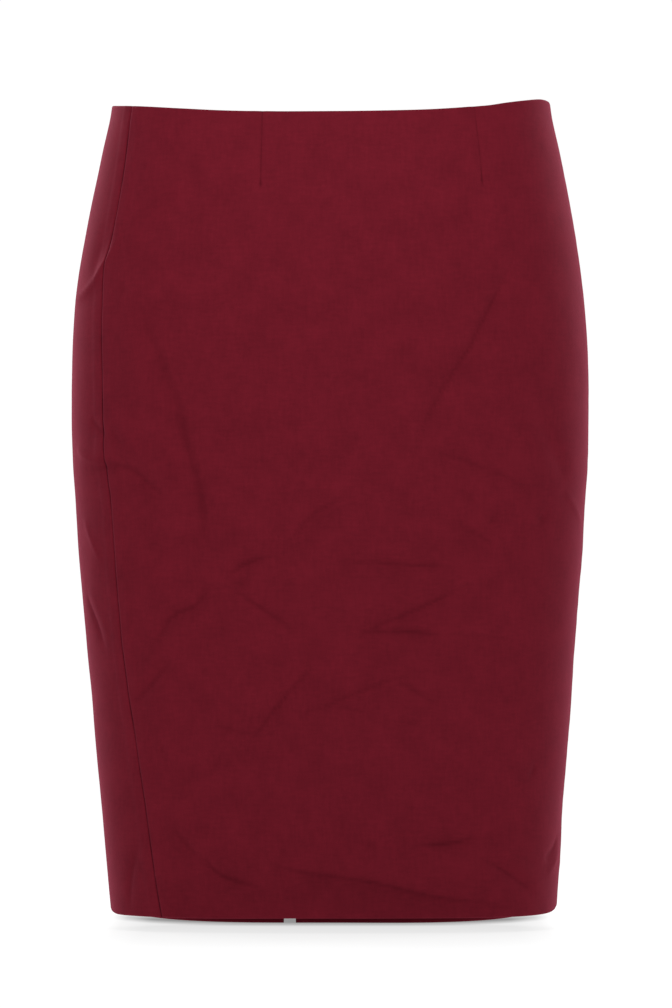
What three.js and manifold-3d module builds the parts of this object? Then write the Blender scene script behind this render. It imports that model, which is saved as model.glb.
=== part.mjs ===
// A pencil skirt, filled out as if worn, with nobody in it.
// Three cut panels of stretch cotton stand as walls round an empty hollow. The side seams, the
// centre back seam with its concealed zip and its walking slit are real gaps between the panels.
// Millimetres, +Z up. The origin is the middle of the waist. +X is the viewer's right and the
// front faces -Y. A place on the cloth is an angle round the body (0 at the front, 90 at +X)
// and a drop below the waist. The fold tables use millimetres round the cloth instead of an angle.
import Module from 'manifold-3d';
import * as THREE from 'three';
import { mergeVertices } from 'three/addons/utils/BufferGeometryUtils.js';

const wasm = await Module();
wasm.setup();

// Cloth and edges
const clothThick = 1.6;
const turnInHeight = 24;
const turnInThick = 2.2;
const hemHeight = 35;
const hemThick = 2.6;
const thickStep = 3;
const pieceGap = 0.3;

// Walking slit and the parting that the zip's slider passes through
const slitTop = 440;
const slitLevel = 590;
const slitWidth = 8.7;
const partingEnd = 30;
const partingStart = 20;
const partingWidth = 2.6;

// Zip
const tapeTop = 4;
const tapeEnd = 196;
const tapeWidth = 11;
const tapeThick = 1;
const coilTop = 18;
const coilEnd = 190;
const coilWidth = 4;
const coilThick = 1.6;
const sliderDrop = 11.5;
const sliderBody = { wide: 5.2, tall: 9, thick: 2 };
const sliderNeck = { wide: 1.2, tall: 5 };
const sliderPlate = { wide: 4.2, tall: 8, thick: 0.8 };
const bridge = { wide: 1.2, tall: 7, foot: 1, rise: 1.5, thick: 0.9 };
const pullPin = 0.9;
const pullArm = { wide: 1, clear: 1.1 };
const pullReach = { plateStart: 5, neck: 8, end: 20 };
const pullHalf = { neck: 1.7, end: 2.9 };
const pullThick = 1;

// Section of the body of the skirt: a rounded oval, a little squarer than an ellipse
const squareness = 0.02;

// Panel grid
const middleRows = 42;
const dartSide = 4;

function table(columns, ...rows) {
  return rows.map((row) => Object.fromEntries(columns.map((name, i) => [name, row[i]])));
}

// How wide and deep the filled skirt is at each drop
const sections = table(
  ['drop', 'half', 'front', 'back', 'centre'],
  [-12, 157.5, 93.5, 96.0, 0],
  [0, 159.3, 95.0, 98.0, 0.1],
  [12, 161.2, 97.0, 100.6, 0.2],
  [41, 167.7, 102.0, 107.4, 0.3],
  [70, 173.6, 106.5, 114.2, 0.1],
  [99, 179.2, 110.0, 120.6, -0.2],
  [128, 183.8, 112.0, 126.0, -0.6],
  [157, 186.8, 112.8, 129.6, -0.7],
  [190, 188.5, 112.6, 131.2, -0.3],
  [232, 188.5, 111.4, 130.6, -0.3],
  [262, 187.6, 110.2, 129.2, 0],
  [288, 185.8, 109.2, 127.6, 0.1],
  [332, 183.1, 107.6, 125.0, 0.2],
  [376, 179.1, 106.0, 122.4, 0],
  [420, 175.3, 104.2, 120.0, 0.5],
  [464, 171.9, 102.4, 117.8, 0.9],
  [508, 167.9, 100.8, 115.6, 1.3],
  [552, 164.8, 99.2, 113.8, 1.8],
  [600, 160.9, 97.6, 112.2, 2.3],
);

// The top edge dips at the front, and its right corner sits a little higher than its left
const waistEdge = table(
  ['angle', 'drop'],
  [-90, 0.6], [-57, 5.5], [-40, 8.7], [-27, 11.1], [-14, 12.4], [4, 12.3], [14, 11.6],
  [24, 10.4], [33, 8.6], [42, 6.5], [50, 3.6], [60, 0.8], [71, -1.4], [82, -1.7],
  [100, -1.0], [140, 1.5], [180, 2.5], [220, 2.0], [270, 0.6],
);

// The hem hangs about 10 mm lower at the back
const hemEdge = table(
  ['angle', 'drop'],
  [-90, 584.6], [-84, 587.0], [-75, 588.7], [-60, 589.3], [-34, 589.9],
  [-10, 589.5], [14, 589.5], [40, 589.6], [58, 589.1], [70, 588.2],
  [80, 586.6], [86, 584.6], [90, 583.4], [97, 583.8], [104, 586.0],
  [118, 590.8], [135, 596.2], [155, 599.2], [180, 599.6], [205, 599.0],
  [225, 596.3], [245, 591.0], [258, 586.6], [264, 585.2], [270, 584.6],
);

// The skirt sits turned round the body, so the left side seam shows from the front
const leftSeam = table(
  ['drop', 'angle'],
  [-12, -61.5], [10, -61.8], [50, -59.3], [86, -58.7], [112, -59.9], [125, -60.6],
  [146, -59.6], [203, -58.2], [254, -57.8], [292, -56.3], [367, -55.7], [393, -55.6],
  [429, -54.4], [462, -52.7], [490, -51.7], [530, -50.1], [568, -48.4], [600, -46.8],
);
const rightSeam = table(
  ['drop', 'angle'],
  [-12, 96.2], [50, 95.4], [190, 94.0], [400, 93.0], [600, 92.0],
);
const backSeam = table(
  ['drop', 'angle'],
  [-12, 190.8], [60, 190.2], [190, 189.3], [400, 189.9], [600, 190.9],
);

// Waist darts: where each one starts, where it ends, and how far its stitched line sinks
const darts = table(
  ['topAngle', 'endAngle', 'endDrop', 'width', 'depth'],
  [-16.6, -15.7, 66, 3, 1.0],
  [37.8, 36.8, 63, 3, 1.0],
  [163.0, 165.5, 96, 3, 1.0],
  [218.0, 213.5, 96, 3, 1.0],
);

// Folds seen from the front: three places on the line of the fold, the half width over which it
// fades, and how far it rises above the cloth (below it where negative)
const foldColumns = ['at', 'down', 'midAt', 'midDown', 'endAt', 'endDown', 'width', 'rise'];
const frontFolds = table(
  foldColumns,
  [140, 120, 102, 190, 57, 256, 11, -2.2],
  [-91, 55, -122, 90, -147, 104, 14, -1.7],
  [-54, 57, -70, 75, -84, 92, 12, -1.0],
  [-180, 80, -187, 105, -199, 124, 9, -2.0],
  [-168, 110, -190, 128, -226, 142, 9, 2.2],
  [75, 256, 109, 267, 148, 282, 9, -1.5],
  [155, 227, 172, 252, 187, 278, 12, -1.8],
  [-129, 160, -118, 205, -95, 290, 12, -1.6],
  [-218, 253, -195, 260, -172, 261, 9, 1.5],
  [-192, 268, -152, 268, -119, 290, 9, -1.6],
  [-29, 320, -10, 301, 11, 287, 9, -1.2],
  [-75, 343, -62, 338, -45, 333, 11, -1.4],
  [-85, 350, -100, 370, -128, 391, 9, -1.6],
  [-67, 356, -48, 370, -28, 382, 9, -1.4],
  [-49, 330, -22, 357, 16, 385, 9, 1.0],
  [6, 335, 40, 335, 94, 337, 9, -2.4],
  [18, 351, 55, 350, 94, 344, 9, 1.2],
  [20, 386, 62, 368, 99, 350, 9, -2.0],
  [31, 384, 85, 387, 160, 391, 10, -1.6],
  [-221, 353, -206, 371, -189, 390, 9, -1.8],
  [-151, 436, -136, 424, -116, 404, 9, -1.3],
  [-54, 461, -33, 434, -12, 408, 9, -1.6],
  [-52, 459, -66, 457, -84, 451, 9, -0.9],
  [-21, 440, 10, 431, 49, 414, 9, -1.5],
  [51, 422, 62, 429, 75, 436, 9, -0.8],
  [54, 537, 88, 536, 112, 526, 9, -1.4],
  [-118, 525, -90, 552, -48, 568, 9, -1.8],
  [-46, 550, 20, 562, 124, 580, 10, -1.6],
  [106, 546, 130, 558, 153, 570, 9, -1.3],
  [164, 551, 185, 542, 200, 531, 9, -1.8],
  [170, 562, 190, 553, 204, 543, 9, 1.2],
  [-151, 540, -160, 562, -163, 584, 9, -1.0],
);

// Folds of the back, measured the same way from the middle of the back
const backFolds = table(
  foldColumns,
  [-185, 118, -150, 150, -108, 172, 12, -1.8],
  [190, 130, 158, 158, 112, 190, 12, -1.9],
  [-96, 60, -118, 92, -150, 110, 12, -1.4],
  [104, 66, 122, 96, 148, 112, 12, -1.2],
  [-160, 290, -112, 300, -58, 291, 11, -1.9],
  [36, 300, 84, 312, 142, 302, 11, -2.0],
  [-150, 318, -104, 334, -44, 330, 10, -1.7],
  [48, 340, 92, 350, 150, 336, 10, -1.8],
  [-132, 318, -88, 316, -40, 308, 10, 1.1],
  [60, 326, 98, 330, 134, 320, 10, 1.1],
  [-158, 372, -128, 358, -96, 350, 9, -1.5],
  [-88, 388, -52, 372, -14, 368, 9, -1.5],
  [30, 392, 66, 376, 106, 380, 9, -1.4],
  [128, 398, 150, 380, 168, 356, 9, -1.6],
  [-122, 440, -96, 424, -62, 416, 9, -1.3],
  [62, 452, 88, 436, 126, 430, 9, -1.3],
  [-168, 470, -150, 452, -138, 430, 10, -1.4],
  [70, 520, 92, 536, 124, 548, 9, -1.5],
  [-130, 536, -104, 548, -72, 550, 9, -1.5],
  [-34, 500, -46, 530, -50, 566, 10, -1.3],
);

// A smooth value between the rows of a table
function readTable(rows, key, at, column) {
  let i = 0;
  while (i < rows.length - 2 && rows[i + 1][key] < at) i += 1;
  const slope = (k) => {
    const low = Math.max(k - 1, 0);
    const high = Math.min(k + 1, rows.length - 1);
    return (rows[high][column] - rows[low][column]) / (rows[high][key] - rows[low][key]);
  };
  const [from, to] = [rows[i], rows[i + 1]];
  const step = to[key] - from[key];
  const t = (at - from[key]) / step;
  const near = (1 + 2 * t) * (1 - t) ** 2 * from[column] + t * (1 - t) ** 2 * step * slope(i);
  const far = t * t * (3 - 2 * t) * to[column] + t * t * (t - 1) * step * slope(i + 1);
  return near + far;
}

function softStep(from, to, at) {
  const t = THREE.MathUtils.clamp((at - from) / (to - from), 0, 1);
  return t * t * (3 - 2 * t);
}

// Angles run from -90 round to 270, and the place round the cloth from the front or back middle
const wrapAngle = (angle) => ((angle + 90 + 720) % 360) - 90;

function ovalPlace(angle, half, depth) {
  const turn = THREE.MathUtils.degToRad(angle);
  const across = Math.sin(turn) + squareness * Math.sin(3 * turn);
  const along = Math.cos(turn) - squareness * Math.cos(3 * turn);
  return [(half * across) / (1 - squareness), (-depth * along) / (1 - squareness)];
}

// Lengths round the widest section, for every degree from the front to the back
const widest = sections.find((row) => row.drop === 190);
const roundLengths = [0];
for (let angle = 1; angle <= 180; angle += 1) {
  const depth = (widest.front + widest.back) / 2;
  const [x0, y0] = ovalPlace(angle - 1, widest.half, depth);
  const [x1, y1] = ovalPlace(angle, widest.half, depth);
  roundLengths.push(roundLengths[angle - 1] + Math.hypot(x1 - x0, y1 - y0));
}

function roundFromFront(angle, drop) {
  const signed = wrapAngle(angle) > 180 ? wrapAngle(angle) - 360 : wrapAngle(angle);
  const whole = Math.min(Math.floor(Math.abs(signed)), 179);
  const share = Math.abs(signed) - whole;
  const length = roundLengths[whole] * (1 - share) + roundLengths[whole + 1] * share;
  return (Math.sign(signed) * length * readTable(sections, 'drop', drop, 'half')) / widest.half;
}

function roundFromBack(angle, drop) {
  const front = roundFromFront(angle, drop);
  const halfRound = roundFromFront(180, drop);
  return front < 0 ? front + halfRound : front - halfRound;
}

// The smooth form of the skirt, before folds
function bodyPoint(angle, drop) {
  const half = readTable(sections, 'drop', drop, 'half');
  const front = readTable(sections, 'drop', drop, 'front');
  const back = readTable(sections, 'drop', drop, 'back');
  const centre = readTable(sections, 'drop', drop, 'centre');
  const [x, y] = ovalPlace(angle, half, (front + back) / 2);
  return new THREE.Vector3(centre + x, (back - front) / 2 + y, -drop);
}

function bodyNormal(angle, drop) {
  const round = bodyPoint(angle + 0.5, drop).sub(bodyPoint(angle - 0.5, drop));
  const down = bodyPoint(angle, drop + 2).sub(bodyPoint(angle, drop - 2));
  return down.cross(round).normalize();
}

// Each fold's line as short straight stretches, with its strength fading to both ends
const foldSteps = 12;
function foldLine(fold) {
  return Array.from({ length: foldSteps + 1 }, (_, k) => {
    const t = k / foldSteps;
    const a = (1 - t) * (1 - 2 * t);
    const b = 4 * t * (1 - t);
    const c = t * (2 * t - 1);
    return {
      at: a * fold.at + b * fold.midAt + c * fold.endAt,
      down: a * fold.down + b * fold.midDown + c * fold.endDown,
      strength: Math.sqrt(Math.sin(Math.PI * THREE.MathUtils.clamp(t, 0.02, 0.98))),
    };
  });
}

function riseOfFolds(folds, at, down) {
  let rise = 0;
  for (const fold of folds) {
    let nearest = Infinity;
    let strength = 0;
    fold.line.forEach((place) => {
      const distance = Math.hypot(place.at - at, place.down - down);
      if (distance < nearest) [nearest, strength] = [distance, place.strength];
    });
    rise += fold.rise * strength * Math.exp(-((nearest / fold.width) ** 2));
  }
  return rise;
}

[...frontFolds, ...backFolds].forEach((fold) => {
  fold.line = foldLine(fold);
});

function dartAngle(dart, drop) {
  return dart.topAngle + (dart.endAngle - dart.topAngle) * Math.min(drop / dart.endDrop, 1);
}

function riseOfDarts(angle, drop) {
  let rise = 0;
  for (const dart of darts) {
    const aside = roundFromFront(angle, drop) - roundFromFront(dartAngle(dart, drop), drop);
    const fade = 1 - softStep(dart.endDrop - 18, dart.endDrop, drop);
    rise -= dart.depth * fade * Math.exp(-((aside / dart.width) ** 2));
  }
  return rise;
}

// A place on the outer face of the cloth, moved out along its normal by lift
function clothPoint(angle, drop, lift) {
  const folds =
    riseOfFolds(frontFolds, roundFromFront(angle, drop), drop) +
    riseOfFolds(backFolds, roundFromBack(angle, drop), drop) +
    riseOfDarts(angle, drop);
  return bodyPoint(angle, drop).addScaledVector(bodyNormal(angle, drop), folds + lift);
}

// The angle that lies a distance in millimetres round the cloth from another
function angleBeside(angle, drop, distance) {
  const perDegree = bodyPoint(angle + 0.5, drop).distanceTo(bodyPoint(angle - 0.5, drop));
  return angle + distance / perDegree;
}

const topOf = (angle) => readTable(waistEdge, 'angle', wrapAngle(angle), 'drop');
const hemOf = (angle) => readTable(hemEdge, 'angle', wrapAngle(angle), 'drop');

// Cloth thickness: thicker where the waist is turned in and the hem is turned up
function thickAt(angle, drop) {
  const turnIn = 1 - softStep(turnInHeight, turnInHeight + thickStep, drop - topOf(angle));
  const turnUp = 1 - softStep(hemHeight, hemHeight + thickStep, hemOf(angle) - drop);
  return clothThick + (turnInThick - clothThick) * turnIn + (hemThick - clothThick) * turnUp;
}

// Half of the gap at the centre back: closed seam, parted at the zip's top, open at the slit
function backGap(drop) {
  const parting = (partingWidth - pieceGap) * (1 - softStep(partingStart, partingEnd, drop));
  const opened = Math.max(drop - slitTop, 0) / (slitLevel - slitTop);
  const slit = (slitWidth - pieceGap) * opened;
  return (pieceGap + parting + slit) / 2;
}

const tapeReach = (drop) => backGap(drop) + pieceGap + tapeWidth;

// The drops of the grid rows between two edges
function panelRows(angle) {
  const top = topOf(angle);
  const hem = hemOf(angle);
  const first = top + turnInHeight + thickStep;
  const last = hem - hemHeight - thickStep;
  const rows = [top, top + turnInHeight / 2, top + turnInHeight];
  for (let k = 0; k <= middleRows; k += 1) rows.push(first + ((last - first) * k) / middleRows);
  rows.push(hem - hemHeight, hem - hemHeight / 2, hem);
  return rows;
}

// A closed wall between an outer and an inner sheet of points, rows of equal length
function wall(outer, inner) {
  const rows = outer.length;
  const columns = outer[0].length;
  const place = (j, i) => j * columns + i;
  const under = rows * columns;
  const faces = [];
  const quad = (a, b, c, d) => faces.push(a, b, c, a, c, d);
  for (let j = 0; j < rows - 1; j += 1) {
    for (let i = 0; i < columns - 1; i += 1) {
      const corners = [place(j, i), place(j + 1, i), place(j + 1, i + 1), place(j, i + 1)];
      quad(...corners);
      quad(...corners.map((corner) => corner + under).reverse());
    }
    const last = columns - 1;
    quad(place(j, 0), place(j, 0) + under, place(j + 1, 0) + under, place(j + 1, 0));
    quad(place(j, last), place(j + 1, last), place(j + 1, last) + under, place(j, last) + under);
  }
  for (let i = 0; i < columns - 1; i += 1) {
    const last = rows - 1;
    quad(place(0, i), place(0, i + 1), place(0, i + 1) + under, place(0, i) + under);
    quad(place(last, i), place(last, i) + under, place(last, i + 1) + under, place(last, i + 1));
  }
  const geometry = new THREE.BufferGeometry();
  const points = [...outer.flat(), ...inner.flat()];
  const numbers = points.flatMap((point) => point.toArray());
  geometry.setAttribute('position', new THREE.Float32BufferAttribute(numbers, 3));
  geometry.setIndex(faces);
  geometry.computeVertexNormals();
  return geometry;
}

// A panel's columns run between guide lines, each given as an angle for a drop
function panelWall(guides, splits) {
  const columns = [];
  splits.forEach((count, g) => {
    for (let k = 0; k < count; k += 1) {
      const share = k / count;
      columns.push((drop) => guides[g](drop) * (1 - share) + guides[g + 1](drop) * share);
    }
  });
  columns.push(guides[guides.length - 1]);
  const rowCount = panelRows(0).length;
  const outer = Array.from({ length: rowCount }, () => []);
  const inner = Array.from({ length: rowCount }, () => []);
  for (const column of columns) {
    for (let j = 0; j < rowCount; j += 1) {
      let drop = panelRows(column(0))[j];
      drop = panelRows(column(drop))[j];
      const angle = column(drop);
      outer[j].push(clothPoint(angle, drop, 0));
      inner[j].push(clothPoint(angle, drop, -thickAt(angle, drop)));
    }
  }
  return wall(outer, inner);
}

const seamLine = (rows, gap, turn = 0) => (drop) => {
  const angle = readTable(rows, 'drop', drop, 'angle') + turn;
  return angleBeside(angle, drop, typeof gap === 'function' ? gap(drop) : gap);
};
const dartGuides = (dart) =>
  [-dartSide, 0, dartSide].map((aside) => (drop) => angleBeside(dartAngle(dart, drop), drop, aside));

// A strip inside the back seam, made from the panels' own points moved inwards
function seamStrip(from, to, top, end, lift, thick) {
  const outer = [];
  const inner = [];
  const between = panelRows(180).filter((drop) => drop > top + 2 && drop < end - 2);
  for (const drop of [top, ...between, end]) {
    const seam = readTable(backSeam, 'drop', drop, 'angle');
    const depth = thickAt(seam, drop) + pieceGap + lift;
    const angles = [from(drop), to(drop)].map((aside) => angleBeside(seam, drop, aside));
    outer.push(angles.map((angle) => clothPoint(angle, drop, -depth)));
    inner.push(angles.map((angle) => clothPoint(angle, drop, -depth - thick)));
  }
  return wall(outer, inner);
}

function part(name, geometry, material) {
  const mesh = new THREE.Mesh(geometry, material);
  mesh.name = name;
  return mesh;
}

const clothMaterial = new THREE.MeshStandardMaterial({ color: 0x6b1a28, roughness: 0.72, metalness: 0 });
const tapeMaterial = new THREE.MeshStandardMaterial({ color: 0x541420, roughness: 0.85, metalness: 0 });
const coilMaterial = new THREE.MeshStandardMaterial({ color: 0x4a111c, roughness: 0.5, metalness: 0 });
const metalMaterial = new THREE.MeshStandardMaterial({ color: 0x5c1622, roughness: 0.35, metalness: 0.6 });

function frontPanel() {
  const guides = [
    seamLine(leftSeam, pieceGap / 2),
    ...dartGuides(darts[0]),
    ...dartGuides(darts[1]),
    seamLine(rightSeam, -pieceGap / 2),
  ];
  return part('front_panel', panelWall(guides, [9, 1, 1, 12, 1, 1, 12]), clothMaterial);
}

function backPanelRight() {
  const guides = [
    seamLine(rightSeam, pieceGap / 2),
    ...dartGuides(darts[2]),
    seamLine(backSeam, (drop) => -tapeReach(drop)),
    seamLine(backSeam, (drop) => -backGap(drop)),
  ];
  return part('back_panel_right', panelWall(guides, [12, 1, 1, 4, 1]), clothMaterial);
}

function backPanelLeft() {
  const guides = [
    seamLine(backSeam, backGap),
    seamLine(backSeam, tapeReach),
    ...dartGuides(darts[3]),
    seamLine(leftSeam, -pieceGap / 2, 360),
  ];
  return part('back_panel_left', panelWall(guides, [1, 4, 1, 1, 12]), clothMaterial);
}

function zipTape(name, side) {
  const near = (drop) => side * (backGap(drop) + pieceGap);
  const far = (drop) => side * tapeReach(drop);
  const [from, to] = side > 0 ? [near, far] : [far, near];
  return part(name, seamStrip(from, to, tapeTop, tapeEnd, 0, tapeThick), tapeMaterial);
}

function zipCoil() {
  const edge = (side) => () => (side * coilWidth) / 2;
  const lift = tapeThick + pieceGap;
  return part('zip_coil', seamStrip(edge(-1), edge(1), coilTop, coilEnd, lift, coilThick), coilMaterial);
}

// The slider's own frame: across the seam, out of the cloth, and up along the zip
function sliderFrame() {
  const angle = readTable(backSeam, 'drop', sliderDrop, 'angle');
  const out = bodyNormal(angle, sliderDrop);
  const up = bodyPoint(angle, sliderDrop - 2).sub(bodyPoint(angle, sliderDrop + 2)).normalize();
  const across = new THREE.Vector3().crossVectors(out, up).normalize();
  const frame = new THREE.Matrix4().makeBasis(across, out, up);
  return frame.setPosition(clothPoint(angle, sliderDrop, 0));
}

const pinOut = pieceGap + sliderPlate.thick + bridge.rise / 2;

function block(wide, near, far, tall, atUp) {
  return new THREE.BoxGeometry(wide, far - near, tall).translate(0, (near + far) / 2, atUp);
}

function joined(geometries) {
  const solids = geometries.map((geometry) => {
    const bare = geometry.clone();
    bare.deleteAttribute('normal');
    bare.deleteAttribute('uv');
    const merged = mergeVertices(bare);
    return new wasm.Manifold(new wasm.Mesh({
      numProp: 3,
      vertProperties: new Float32Array(merged.attributes.position.array),
      triVerts: new Uint32Array(merged.index.array),
    }));
  });
  const mesh = solids.reduce((sum, solid) => sum.add(solid)).getMesh();
  const geometry = new THREE.BufferGeometry();
  geometry.setAttribute('position', new THREE.BufferAttribute(mesh.vertProperties, 3));
  geometry.setIndex(new THREE.BufferAttribute(mesh.triVerts, 1));
  geometry.computeVertexNormals();
  return geometry;
}

// The slider: a body behind the tapes, a neck through the parting, a plate and a bridge outside
function zipSlider() {
  const behind = -(turnInThick + pieceGap + tapeThick + pieceGap);
  const face = pieceGap + sliderPlate.thick;
  const footUp = (bridge.tall - bridge.foot) / 2;
  const top = face + bridge.rise;
  const lap = 0.1;
  const geometry = joined([
    block(sliderBody.wide, behind - sliderBody.thick, behind, sliderBody.tall, 0),
    block(sliderNeck.wide, behind - lap, pieceGap + lap, sliderNeck.tall, 0),
    block(sliderPlate.wide, pieceGap, face, sliderPlate.tall, 0),
    block(bridge.wide, face - lap, top + lap, bridge.foot, footUp),
    block(bridge.wide, face - lap, top + lap, bridge.foot, -footUp),
    block(bridge.wide, top, top + bridge.thick, bridge.tall, 0),
  ]);
  return part('zip_slider', geometry.applyMatrix4(sliderFrame()), metalMaterial);
}

// The pull: a pin under the bridge, two arms beside it, and a tab that hangs flat on the cloth
function zipPull() {
  const arm = pullArm.clear + pullArm.wide;
  const tab = new THREE.Shape();
  tab.moveTo(-arm, -pullPin / 2);
  tab.lineTo(-arm, -pullReach.neck);
  tab.lineTo(-pullHalf.end, -pullReach.end + pullHalf.end);
  tab.absarc(0, -pullReach.end + pullHalf.end, pullHalf.end, Math.PI, 2 * Math.PI);
  tab.lineTo(arm, -pullReach.neck);
  tab.lineTo(arm, -pullPin / 2);
  tab.lineTo(pullArm.clear, -pullPin / 2);
  tab.lineTo(pullArm.clear, -pullReach.plateStart);
  tab.lineTo(-pullArm.clear, -pullReach.plateStart);
  tab.lineTo(-pullArm.clear, -pullPin / 2);
  const plate = new THREE.ExtrudeGeometry(tab, { depth: pullThick, bevelEnabled: false, curveSegments: 8 });
  plate.translate(0, 0, -pullThick / 2).rotateX(Math.PI / 2);
  const pin = new THREE.CylinderGeometry(pullPin / 2, pullPin / 2, 2 * arm, 12).rotateZ(Math.PI / 2);
  const ends = [-1, 1].map((side) => {
    const eye = new THREE.CylinderGeometry(pullThick / 2, pullThick / 2, pullArm.wide, 12);
    return eye.rotateZ(Math.PI / 2).translate(side * (pullArm.clear + pullArm.wide / 2), 0, 0);
  });
  const arms = [-1, 1].map((side) => {
    const stub = new THREE.BoxGeometry(pullArm.wide, pullThick, pullPin);
    return stub.translate(side * (pullArm.clear + pullArm.wide / 2), 0, -pullPin / 2);
  });
  const geometry = joined([plate, pin, ...ends, ...arms]).translate(0, pinOut, 0);
  return part('zip_pull', geometry.applyMatrix4(sliderFrame()), metalMaterial);
}

export default new THREE.Group().add(
  frontPanel(),
  backPanelRight(),
  backPanelLeft(),
  zipTape('zip_tape_right', -1),
  zipTape('zip_tape_left', 1),
  zipCoil(),
  zipSlider(),
  zipPull(),
);
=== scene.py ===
"""A burgundy pencil skirt, filled out as if worn, with nobody in it.

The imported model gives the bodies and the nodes. The panels, the zip and the sewing are made here
as fine meshes that stand for those nodes. A place on the cloth is an angle round the body
(0 at the front, 90 at +X) and a drop below the waist; folds are placed in millimetres round the
cloth and down it. Tables are in millimetres and meshes are written in metres.
"""
import math

import bpy
import numpy as np
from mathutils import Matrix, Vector

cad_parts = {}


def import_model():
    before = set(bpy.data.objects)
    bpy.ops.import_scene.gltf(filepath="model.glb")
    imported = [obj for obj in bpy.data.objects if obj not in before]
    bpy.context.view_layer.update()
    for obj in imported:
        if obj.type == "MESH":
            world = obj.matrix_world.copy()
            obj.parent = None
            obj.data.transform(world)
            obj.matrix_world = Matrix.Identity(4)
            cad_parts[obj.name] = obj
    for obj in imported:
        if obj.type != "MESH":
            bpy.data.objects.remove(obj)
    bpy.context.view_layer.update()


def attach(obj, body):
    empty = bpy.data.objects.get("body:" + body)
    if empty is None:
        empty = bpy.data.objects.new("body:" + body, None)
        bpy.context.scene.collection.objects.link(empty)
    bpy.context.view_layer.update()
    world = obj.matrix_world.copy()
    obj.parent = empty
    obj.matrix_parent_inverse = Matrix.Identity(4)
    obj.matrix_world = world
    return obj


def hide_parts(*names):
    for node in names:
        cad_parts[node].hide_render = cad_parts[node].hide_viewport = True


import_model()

MM = 0.001
ROOT = "skirt"

# Cloth and edges, as in the solids
CLOTH_THICK = 1.6
TURN_IN_HEIGHT = 24.0
TURN_IN_THICK = 2.2
HEM_HEIGHT = 35.0
HEM_THICK = 2.6
SEAM_GAP = 0.3
SLIT_TOP = 440.0
SLIT_LEVEL = 590.0
SLIT_WIDTH = 8.7
TAPE_TOP = 4.0
TAPE_END = 196.0
TAPE_WIDTH = 11.0
TAPE_THICK = 0.6
COIL_TOP = 18.0
COIL_END = 190.0
SLIDER_DROP = 11.5
PARTING_START = 20.0
PARTING_END = 30.0
PARTING_WIDTH = 2.6
SQUARENESS = 0.02

# drop, half width, front depth, back depth, middle
SECTIONS = np.array([
    [-12, 157.5, 93.5, 96.0, 0],
    [0, 159.3, 95.0, 98.0, 0.1],
    [12, 161.2, 97.0, 100.6, 0.2],
    [41, 167.7, 102.0, 107.4, 0.3],
    [70, 173.6, 106.5, 114.2, 0.1],
    [99, 179.2, 110.0, 120.6, -0.2],
    [128, 183.8, 112.0, 126.0, -0.6],
    [157, 186.8, 112.8, 129.6, -0.7],
    [190, 188.5, 112.6, 131.2, -0.3],
    [232, 188.5, 111.4, 130.6, -0.3],
    [262, 187.6, 110.2, 129.2, 0],
    [288, 185.8, 109.2, 127.6, 0.1],
    [332, 183.1, 107.6, 125.0, 0.2],
    [376, 179.1, 106.0, 122.4, 0],
    [420, 175.3, 104.2, 120.0, 0.5],
    [464, 171.9, 102.4, 117.8, 0.9],
    [508, 167.9, 100.8, 115.6, 1.3],
    [552, 164.8, 99.2, 113.8, 1.8],
    [600, 160.9, 97.6, 112.2, 2.3],
])

# angle, drop
WAIST_EDGE = np.array([
    [-90, 0.6], [-57, 5.5], [-40, 8.7], [-27, 11.1], [-14, 12.4], [4, 12.3], [14, 11.6],
    [24, 10.4], [33, 8.6], [42, 6.5], [50, 3.6], [60, 0.8], [71, -1.4], [82, -1.7],
    [100, -1.0], [140, 1.5], [180, 2.5], [220, 2.0], [270, 0.6],
])
HEM_EDGE = np.array([
    [-90, 584.6], [-84, 587.0], [-75, 588.7], [-60, 589.3], [-34, 589.9],
    [-10, 589.5], [14, 589.5], [40, 589.6], [58, 589.1], [70, 588.2],
    [80, 586.6], [86, 584.6], [90, 583.4], [97, 583.8], [104, 586.0],
    [118, 590.8], [135, 596.2], [155, 599.2], [180, 599.6], [205, 599.0],
    [225, 596.3], [245, 591.0], [258, 586.6], [264, 585.2], [270, 584.6],
])

# drop, angle
LEFT_SEAM = np.array([
    [-12, -61.5], [10, -61.8], [50, -59.3], [86, -58.7], [112, -59.9], [125, -60.6],
    [146, -59.6], [203, -58.2], [254, -57.8], [292, -56.3], [367, -55.7], [393, -55.6],
    [429, -54.4], [462, -52.7], [490, -51.7], [530, -50.1], [568, -48.4], [600, -46.8],
])
RIGHT_SEAM = np.array([[-12, 96.2], [50, 95.4], [190, 94.0], [400, 93.0], [600, 92.0]])
BACK_SEAM = np.array([[-12, 190.8], [60, 190.2], [190, 189.3], [400, 189.9], [600, 190.9]])

# top angle, end angle, end drop
DARTS = [
    (-16.6, -15.7, 66.0),
    (37.8, 36.8, 63.0),
    (163.0, 165.5, 96.0),
    (218.0, 213.5, 96.0),
]

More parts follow.
